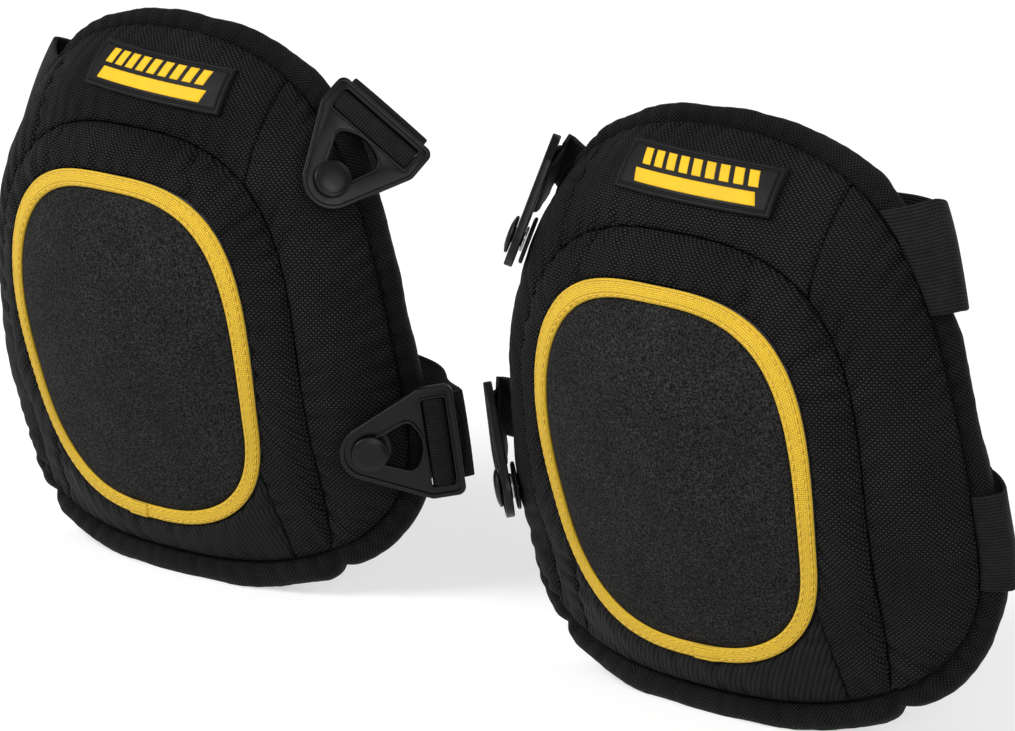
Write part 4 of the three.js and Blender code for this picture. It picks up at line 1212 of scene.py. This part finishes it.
def stud_seat(side, level):
    """The axes of a stud's own frame, for millimetres, and its place in the pair's frame, in
    metres, from the joints on which the clip turns and slides."""
    swivel, release = joint(f"{side}_{level}_swivel"), joint(f"{side}_{level}_release")
    z, x = unit(np.array(swivel["axis"])), -unit(np.array(release["axis"]))
    return np.stack([x, np.cross(z, x), z], 1) * MM, np.array(swivel["pos_m"])


def seated(points, seat):
    return np.asarray(points, float) @ seat[0].T + seat[1]


def arc(centre, radius, start, end, steps=16):
    turn = np.radians(np.linspace(start, end, steps))
    return np.asarray(centre) + radius * np.stack([np.cos(turn), np.sin(turn)], -1)


def clip_outline(inset=0.0):
    """The arrowhead outline of a clip: round nose, straight flanks, rounded bar corners."""
    half, reach = CLIP["half_width"] - inset, CLIP["reach"] - inset
    corner, angle = max(CLIP["corner"] - inset, 0.4), CLIP["nose_angle"]
    nose = arc((0, 0), CLIP["nose"] - inset, angle, 360 - angle, 40)
    shoulders = arc((CLIP["shoulder"], 3 - half), 3, 245, 270, 6)
    corners = arc((reach - corner, corner - half), corner, -90, 0, 10)
    lower = np.concatenate([nose[len(nose) // 2:], shoulders, corners])
    return np.concatenate([lower, lower[:0:-1] * [1, -1]])


def keyhole_outline(grow=0.0):
    """A rounded triangle: small at the stud, with a bulging end."""
    x, y = KEYHOLE["shoulder"]
    radius, end = KEYHOLE["radius"] + grow, KEYHOLE["end_angle"]
    side = 90 + np.degrees(np.arctan2(y, x))
    small = arc((0, 0), radius, side, 360 - side, 20)
    first, last = arc((x, -y), radius, -side, end, 24), arc((x, y), radius, -end, side, 24)
    control = np.array([2 * (KEYHOLE["reach"] + grow) - first[-1, 0], 0])
    t = np.linspace(0, 1, 20)[1:-1, None]
    bulge = (1 - t) ** 2 * first[-1] + 2 * t * (1 - t) * control + t ** 2 * last[0]
    return np.concatenate([small, first, bulge, last])


def window_outline(grow=0.0, corner=1):
    """The window that the bar crosses, a rounded rectangle."""
    start, end = WINDOW_START - grow + corner, WINDOW_END + grow - corner
    half = WINDOW_HALF + grow - corner
    corners = ((end, -half), (end, half), (start, half), (start, -half))
    arcs = [arc(place, corner, 90 * k - 90, 90 * k, 5) for k, place in enumerate(corners)]
    return np.concatenate(arcs)


def plate_mesh(outlines, bottom, top, bevel):
    """A flat plate with holes: closed outlines filled, thickened and bevelled as a curve,
    and made a mesh. Returned as points in millimetres and faces."""
    curve = bpy.data.curves.new("plate", "CURVE")
    curve.dimensions, curve.fill_mode = "2D", "BOTH"
    curve.extrude = (top - bottom) / 2 - bevel
    curve.bevel_depth, curve.bevel_resolution = bevel, 2
    curve.offset = -bevel
    for points in outlines:
        spline = curve.splines.new("POLY")
        spline.points.add(len(points) - 1)
        flat = np.concatenate([points, np.zeros((len(points), 1)), np.ones((len(points), 1))], 1)
        spline.points.foreach_set("co", flat.ravel())
        spline.use_cyclic_u = True
    obj = new_object("plate", curve)
    graph = bpy.context.evaluated_depsgraph_get()
    mesh = bpy.data.meshes.new_from_object(obj.evaluated_get(graph))
    bpy.data.objects.remove(obj)
    points = np.empty(len(mesh.vertices) * 3)
    mesh.vertices.foreach_get("co", points)
    faces = [np.array(face.vertices) for face in mesh.polygons]
    bpy.data.meshes.remove(mesh)
    return points.reshape(-1, 3) + [0, 0, (bottom + top) / 2], faces


def seated_object(name, parts, seat, sharp):
    """One object of several closed shells, in place. Corners sharper than an angle stay so."""
    points, faces = joined(parts)
    mesh = mesh_of(name, seated(points, seat), faces, points[:, :2] * MM)
    mesh.set_sharp_from_angle(angle=np.radians(sharp))
    return new_object(name, mesh)


def lathe(profile, steps=48):
    """A turned shape: a profile of radius and height carried round the z axis, its ends on
    the axis. Returned as points and faces."""
    turn = np.linspace(0, 2 * np.pi, steps + 1)
    radius, level = np.array(profile, float).T[..., None]
    grid = np.stack([radius * np.cos(turn), radius * np.sin(turn), level + 0 * turn], -1)
    return grid.reshape(-1, 3), grid_faces(grid.shape)


class FittingOperator(PieceOperator):
    """Makes the pieces at each stud of a pad."""

    def make(self, side):
        for level in LEVELS:
            self.fit(side, level, f"{side}_{level}", stud_seat(side, level))


class MakeStuds(FittingOperator):
    """The studs: a plate on the fabric, a plated post, and a low domed head."""
    bl_idname = "knee_pads.studs"
    bl_label = "Studs"

    def fit(self, side, level, name, seat):
        body = f"{name}_stud_body"
        plate = seated_object(f"{name}_stud_plate", [lathe(PLATE_PROFILE)], seat, 60)
        give(plate, "pads", "moulded_plastic", f"{name}_stud_plate")
        post = seated_object(f"{name}_stud_post", [lathe(POST_PROFILE)], seat, 50)
        give(post, body, "plated_metal")
        head = seated_object(f"{name}_stud_head", [lathe(HEAD_PROFILE)], seat, 60)
        give(head, body, "moulded_plastic", f"{name}_stud")


class MakeClips(FittingOperator):
    """The clips: an arrowhead plate with a keyhole and a window, raised rims round them, and
    a bar across the window."""
    bl_idname = "knee_pads.clips"
    bl_label = "Clips"

    def fit(self, side, level, name, seat):
        fittings = settings("pad_fittings")
        bevel, width, high = (
            size / MM for size in (fittings.clip_bevel, fittings.rim_width, fittings.rim_height))
        bottom, top = CLIP["base"], CLIP["base"] + CLIP["thickness"]
        half = WINDOW_HALF + 0.5
        bar = np.array([(BAR_START, -half), (BAR_END, -half), (BAR_END, half), (BAR_START, half)])
        plate = [clip_outline(0.3), keyhole_outline(0.4), window_outline(0.3)]
        parts = [
            plate_mesh(plate, bottom + high * 0.6, top - high, bevel * 0.6),
            plate_mesh([clip_outline(), clip_outline(width)], bottom, top, bevel),
            plate_mesh([keyhole_outline(1.2), keyhole_outline()], bottom + 0.3, top - 0.1, bevel),
            plate_mesh([window_outline(0.9), window_outline()], bottom + 0.1, top - 0.3, bevel * 0.7),
            plate_mesh([bar], bottom + 0.05, bottom + BAR_HEIGHT, bevel),
        ]
        clip = seated_object(f"{name}_clip", parts, seat, 40)
        give(clip, f"{name}_clip_body", "moulded_plastic", f"{name}_clip")


STRAP_WIDTH, STRAP_THICKNESS, LOOP_THICKNESS = 38.0, 1.8, 1.5
LOOP_REACH, TAIL_LEVEL, TAIL_ROUND = 37.2, -3.8, 0.7
STRAP_ANCHORS = {"upper": 0.7755, "lower": 0.351}
STRAP_CLIMBS = {"upper": 3.2, "lower": 0.8}
STRAP_DRAFT = {"front": 0.09, "back": 0.06, "edge": 0.2}
FOLD_WIDTH = 4
# The strap's way behind its clip: two points by how far they are from the loop's reach and
# from the clip's middle, and how far back its way is drawn, in millimetres.
STRAP_WAY = ((-12, -34), (-2, -15))
DRAWN_BACK, TURN_SHARE, TURN_BACK = 8, 0.14, 6
NEAR_SUNK = 0.9
# Places across the webbing, closer at its edges so that they are round.
EDGE_PLACES = np.array([18.1, 18.45, 18.75, 18.94, 19])
ACROSS = np.concatenate([-EDGE_PLACES[::-1], np.linspace(-17.6, 17.6, 33), EDGE_PLACES])
MIDDLE = len(ACROSS) // 2
# The loop's line from its tail over the bar, through the window and back: x, and z from the
# middle of the clip.
LOOP_LINE = (
    (LOOP_REACH, -2.8), (35, -2.8), (33.5, -2.7), (32.0, -1.9), (31.55, -0.9), (31.2, 0.2),
    (30.2, 0.75), (27.7, 0.9), (25.2, 0.75), (24.2, 0.2), (23.85, -1.0), (24.2, -2.2),
    (25.6, -2.9), (28.5, -3.3), (31, -3.9), (34, -4.25), (35, -4.3), (LOOP_REACH, -4.3),
)
LOOP_TAIL_START = 33


def webbing(name, middle, thickness, along):
    """Webbing from its middle surface, a row for each place along it: moved half its
    thickness to both sides along the surface's normal, thinner at the woven edges."""
    normal = unit(np.cross(np.gradient(middle, axis=0), np.gradient(middle, axis=1)))
    edge = np.clip((STRAP_WIDTH / 2 - np.abs(ACROSS)) / (thickness / 2), 0, 1)
    off = normal * (thickness / 2 * np.sqrt(np.clip(1 - (1 - edge) ** 2, 0, 1)))[None, :, None]
    grid = closed_round(middle + off, middle - off, axis=1).transpose(1, 0, 2)
    return shell(name, grid * MM, uv_grid(along, closed_round(ACROSS, ACROSS)), caps=True)


def spline_points(knots, count):
    """Points at even lengths along the centripetal Catmull-Rom curve through the knots."""
    knots = np.asarray(knots, float)
    ends = [2 * knots[0] - knots[1], *knots, 2 * knots[-1] - knots[-2]]
    pieces = []
    t = np.linspace(0, 1, 120)[:, None]
    for p0, p1, p2, p3 in zip(ends, ends[1:], ends[2:], ends[3:]):
        pairs = ((p0, p1), (p1, p2), (p2, p3))
        d0, d1, d2 = (max(np.linalg.norm(b - a) ** 0.5, 1e-4) for a, b in pairs)
        m1 = ((p1 - p0) / d0 - (p2 - p0) / (d0 + d1) + (p2 - p1) / d1) * d1
        m2 = ((p2 - p1) / d1 - (p3 - p1) / (d1 + d2) + (p3 - p2) / d2) * d1
        pieces.append((2 * t ** 3 - 3 * t ** 2 + 1) * p1 + (t ** 3 - 2 * t ** 2 + t) * m1
                      + (3 * t ** 2 - 2 * t ** 3) * p2 + (t ** 3 - t ** 2) * m2)
    path = np.concatenate([pieces[0], *[piece[1:] for piece in pieces[1:]]])
    lengths = lengths_along(path)
    even = np.linspace(0, lengths[-1], count)
    return np.stack([np.interp(even, lengths, part) for part in path.T], -1)


def strap_start(side, level):
    """The strap's first rows, in metres: it starts in the rim seam, lies over the border and
    folds round it on an ellipse."""
    heights = PAD_HEIGHT * STRAP_ANCHORS[level] + ACROSS
    climb = STRAP_CLIMBS[level] * (1 + ACROSS / STRAP_WIDTH)
    off = CLEARANCE + STRAP_THICKNESS / 2
    front = 1 + (PAD_DEPTH + 1) * STRAP_DRAFT["front"] + off
    back = -PAD_DEPTH - (PAD_DEPTH + 1) * STRAP_DRAFT["back"] - off
    rims, inner = span_at(RIM_SHAPE, heights), span_at(SEAM_SHAPE, heights)
    edge = rims + (rims.max() - rims) * STRAP_DRAFT["edge"]
    shares = np.linspace(0.04, 1, 10)[:, None]
    settle = 1.2 * (1 - np.clip(shares / 0.45, 0, 1)) ** 2
    over = bent(-between(inner, edge, shares), heights + climb * shares ** 1.5, front - settle)[0]
    turn = np.radians(np.linspace(82, -60, 15))[:, None]
    rises = (front + back) / 2 + (front - back) / 2 * np.sin(turn)
    spans = -(edge + FOLD_WIDTH * np.cos(turn))
    fold = bent(spans, heights + climb * (1.4 - 0.4 * np.sin(turn)), rises)[0]
    return on_pad(np.concatenate([over, fold]), side)


def strap_middle(side, level, seat):
    """The middle surface of a strap, in the pair's frame in metres. From its fold round the
    border it crosses behind the pad and comes up to the loop on the clip, turning its width
    evenly from one end to the other."""
    start = strap_start(side, level)
    clear = LOOP_REACH + 2 * CLEARANCE
    ends = clear + (np.sqrt(clear ** 2 - ACROSS ** 2) - clear) * TAIL_ROUND
    low, wide = CLIP_MIDDLE + TAIL_LEVEL + 0 * ACROSS, -PAD_SIDES[side] * ACROSS
    last = seated(np.stack([ends, wide, low], -1), seat)
    near = seated(np.stack([clear + STRAP_THICKNESS + 0 * ACROSS, wide, low - NEAR_SUNK], -1), seat)
    origin = start[-1][MIDDLE]
    under, behind = seated([(LOOP_REACH + x, 0, CLIP_MIDDLE + z) for x, z in STRAP_WAY], seat)
    under = under + [0, DRAWN_BACK * MM, 0]
    turning = between(origin, under, TURN_SHARE) + [0, TURN_BACK * MM, 0]
    path = spline_points([origin, turning, under, behind, near[MIDDLE]], 90)
    tangent = unit(np.gradient(path, axis=0))
    share = smooth_step((np.linspace(0, 1, len(path)) - 0.2) / 0.6)[:, None]
    width = between(*(unit(line[-1] - line[0]) for line in (start[-1], near)), share)
    width = unit(width - tangent * (width * tangent).sum(-1, keepdims=True))
    crossing = path[1:-1, None] + width[1:-1, None] * ACROSS[None, :, None] * MM
    return np.concatenate([start, crossing, near[None], last[None]])


class MakeStraps(FittingOperator):
    """The elastic straps, and the sewn loops that hold them in the clips."""
    bl_idname = "knee_pads.straps"
    bl_label = "Straps"
    bend_length = 0.055

    def fit(self, side, level, name, seat):
        middle = strap_middle(side, level, seat)
        places = middle[:, MIDDLE]
        lengths = lengths_along(places)
        strap = webbing(f"{name}_strap", middle / MM, STRAP_THICKNESS, lengths / MM)
        give(strap, None, "elastic_webbing", f"{name}_strap")
        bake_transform(strap)
        self.make_loop(name, seat)

    def make_loop(self, name, seat):
        """The loop's middle line is a smooth curve; its tail is cut round."""
        path = spline_points([(x, 0, z) for x, z in LOOP_LINE], 110)
        ends = np.sqrt(LOOP_REACH ** 2 - ACROSS ** 2)
        tail = (path[:, :1] - LOOP_TAIL_START) / (LOOP_REACH - LOOP_TAIL_START)
        x = path[:, :1] + (ends - LOOP_REACH) * np.clip(tail, 0, 1) * TAIL_ROUND
        grid = np.broadcast_arrays(x, ACROSS[None, :], CLIP_MIDDLE + path[:, 2:])
        loop = webbing(
            f"{name}_strap_loop", seated(np.stack(grid, -1), seat) / MM, LOOP_THICKNESS,
            lengths_along(path))
        give(loop, None, "elastic_webbing", f"{name}_strap_loop")
        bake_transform(loop)


# The stage

VIEW_TARGET = (0.024025, 0.0073375, 0.110570)
VIEW_AXES = (
    (0.743145, 0.667501, -0.046676),
    (-0.163626, 0.248920, 0.954603),
    (0.648816, -0.701770, 0.294204),
)
# Places, sizes and shares of the power of the lamps.
LAMPS = {
    "key": ((-1.1, -1.7, 1.9), 1.5, "key", 1.0),
    "fill": ((2.0, -0.9, 0.9), 1.3, "fill", 1.0),
    "back": ((0.6, 1.9, 1.6), 1.4, "fill", 0.7),
}
LAMP_AIM = (0, 0, 0.11)
FLOOR_CORNERS = ((-9, -9, 0), (9, -9, 0), (9, 9, 0), (-9, 9, 0))
FLOOR_WHITE = (0.55, 0.55, 0.55, 1)


class MakeStage(bpy.types.Operator):
    """The camera at the photograph's place, the soft light, and a white floor and room."""
    bl_idname = "knee_pads.stage"
    bl_label = "Stage"

    def execute(self, context):
        studio = settings("pad_studio")
        data = bpy.data.cameras.new("view")
        data.lens, data.sensor_width = studio.lens, 36
        camera = new_object("view", data)
        place = Vector(VIEW_TARGET) + studio.distance * Vector(VIEW_AXES[2])
        camera.matrix_world = Matrix.Translation(place) @ Matrix(VIEW_AXES).transposed().to_4x4()
        context.scene.camera = camera
        self.make_floor()
        self.make_world(studio.sky)
        for name, (place, size, power, share) in LAMPS.items():
            self.make_lamp(name, place, size, share * getattr(studio, power))
        context.scene.view_settings.view_transform = "Standard"
        return {"FINISHED"}

    def make_floor(self):
        """A large sheet that keeps the object's shadow: part of its white is its own light,
        for rays from the camera, and part is what the lamps give it."""
        white = settings("pad_colours").backdrop
        mesh = bpy.data.meshes.new("floor")
        mesh.from_pydata(FLOOR_CORNERS, [], [range(4)])
        made = Finish("backdrop", white, 0.9, Specular_IOR_Level=0.0)
        seen, glossy, through = (
            made.node("LightPath", output=f"Is {kind} Ray") for kind in ("Camera", "Glossy", "Transmission"))
        seen = seen.maths("MAXIMUM", glossy).maths("MAXIMUM", through)
        mottle = made.noise(2, 2).spread(0.3, 0.7, 0.52, 0.55)
        made.shade(
            Base_Color=FLOOR_WHITE, Emission_Color=(*white, 1), Emission_Strength=seen * mottle)
        mesh.materials.append(made.material)
        new_object("floor", mesh)

    def make_world(self, strength):
        """White where the camera sees it, and a soft even light elsewhere."""
        world = bpy.data.worlds.new("room")
        bpy.context.scene.world = world
        world.use_nodes = True
        nodes, links = world.node_tree.nodes, world.node_tree.links
        room = nodes["Background"]
        room.inputs["Color"].default_value = (1, 1, 1, 1)
        path, mix = nodes.new("ShaderNodeLightPath"), nodes.new("ShaderNodeMix")
        mix.inputs[2].default_value, mix.inputs[3].default_value = strength, 1.0
        links.new(path.outputs["Is Camera Ray"], mix.inputs[0])
        links.new(mix.outputs[0], room.inputs["Strength"])

    def make_lamp(self, name, place, size, power):
        data = bpy.data.lights.new(name, "AREA")
        data.energy, data.size = power, size
        turn = (Vector(LAMP_AIM) - Vector(place)).to_track_quat("-Z", "Y").to_matrix().to_4x4()
        new_object(name, data).matrix_world = Matrix.Translation(place) @ turn


STEPS = (
    MakeStage, MakePadding, MakeCushion, MakePanels, MakeGripPatch, MakeBorder, MakeLabel,
    MakeStitches, MakeStuds, MakeClips, MakeStraps,
)


class KneePadPanel(bpy.types.Panel):
    """Lists the steps and the settings in the sidebar."""
    bl_idname = "VIEW3D_PT_knee_pads"
    bl_label = "Knee Pads"
    bl_space_type = "VIEW_3D"
    bl_region_type = "UI"
    bl_category = "Knee Pads"

    def draw(self, context):
        for step in STEPS:
            self.layout.operator(step.bl_idname)
        for group, kind in GROUPS.items():
            box = self.layout.box()
            for prop in kind.__annotations__:
                box.prop(getattr(context.scene, group), prop)


def register():
    for kind in (*GROUPS.values(), *STEPS, KneePadPanel):
        bpy.utils.register_class(kind)
    for group, kind in GROUPS.items():
        setattr(bpy.types.Scene, group, PointerProperty(type=kind))


def unregister():
    for group in GROUPS:
        delattr(bpy.types.Scene, group)
    for kind in reversed((*GROUPS.values(), *STEPS, KneePadPanel)):
        bpy.utils.unregister_class(kind)


def main():
    register()
    for step in STEPS:
        area, name = step.bl_idname.split(".")
        getattr(getattr(bpy.ops, area), name)()


if __name__ == "__main__":
    main()
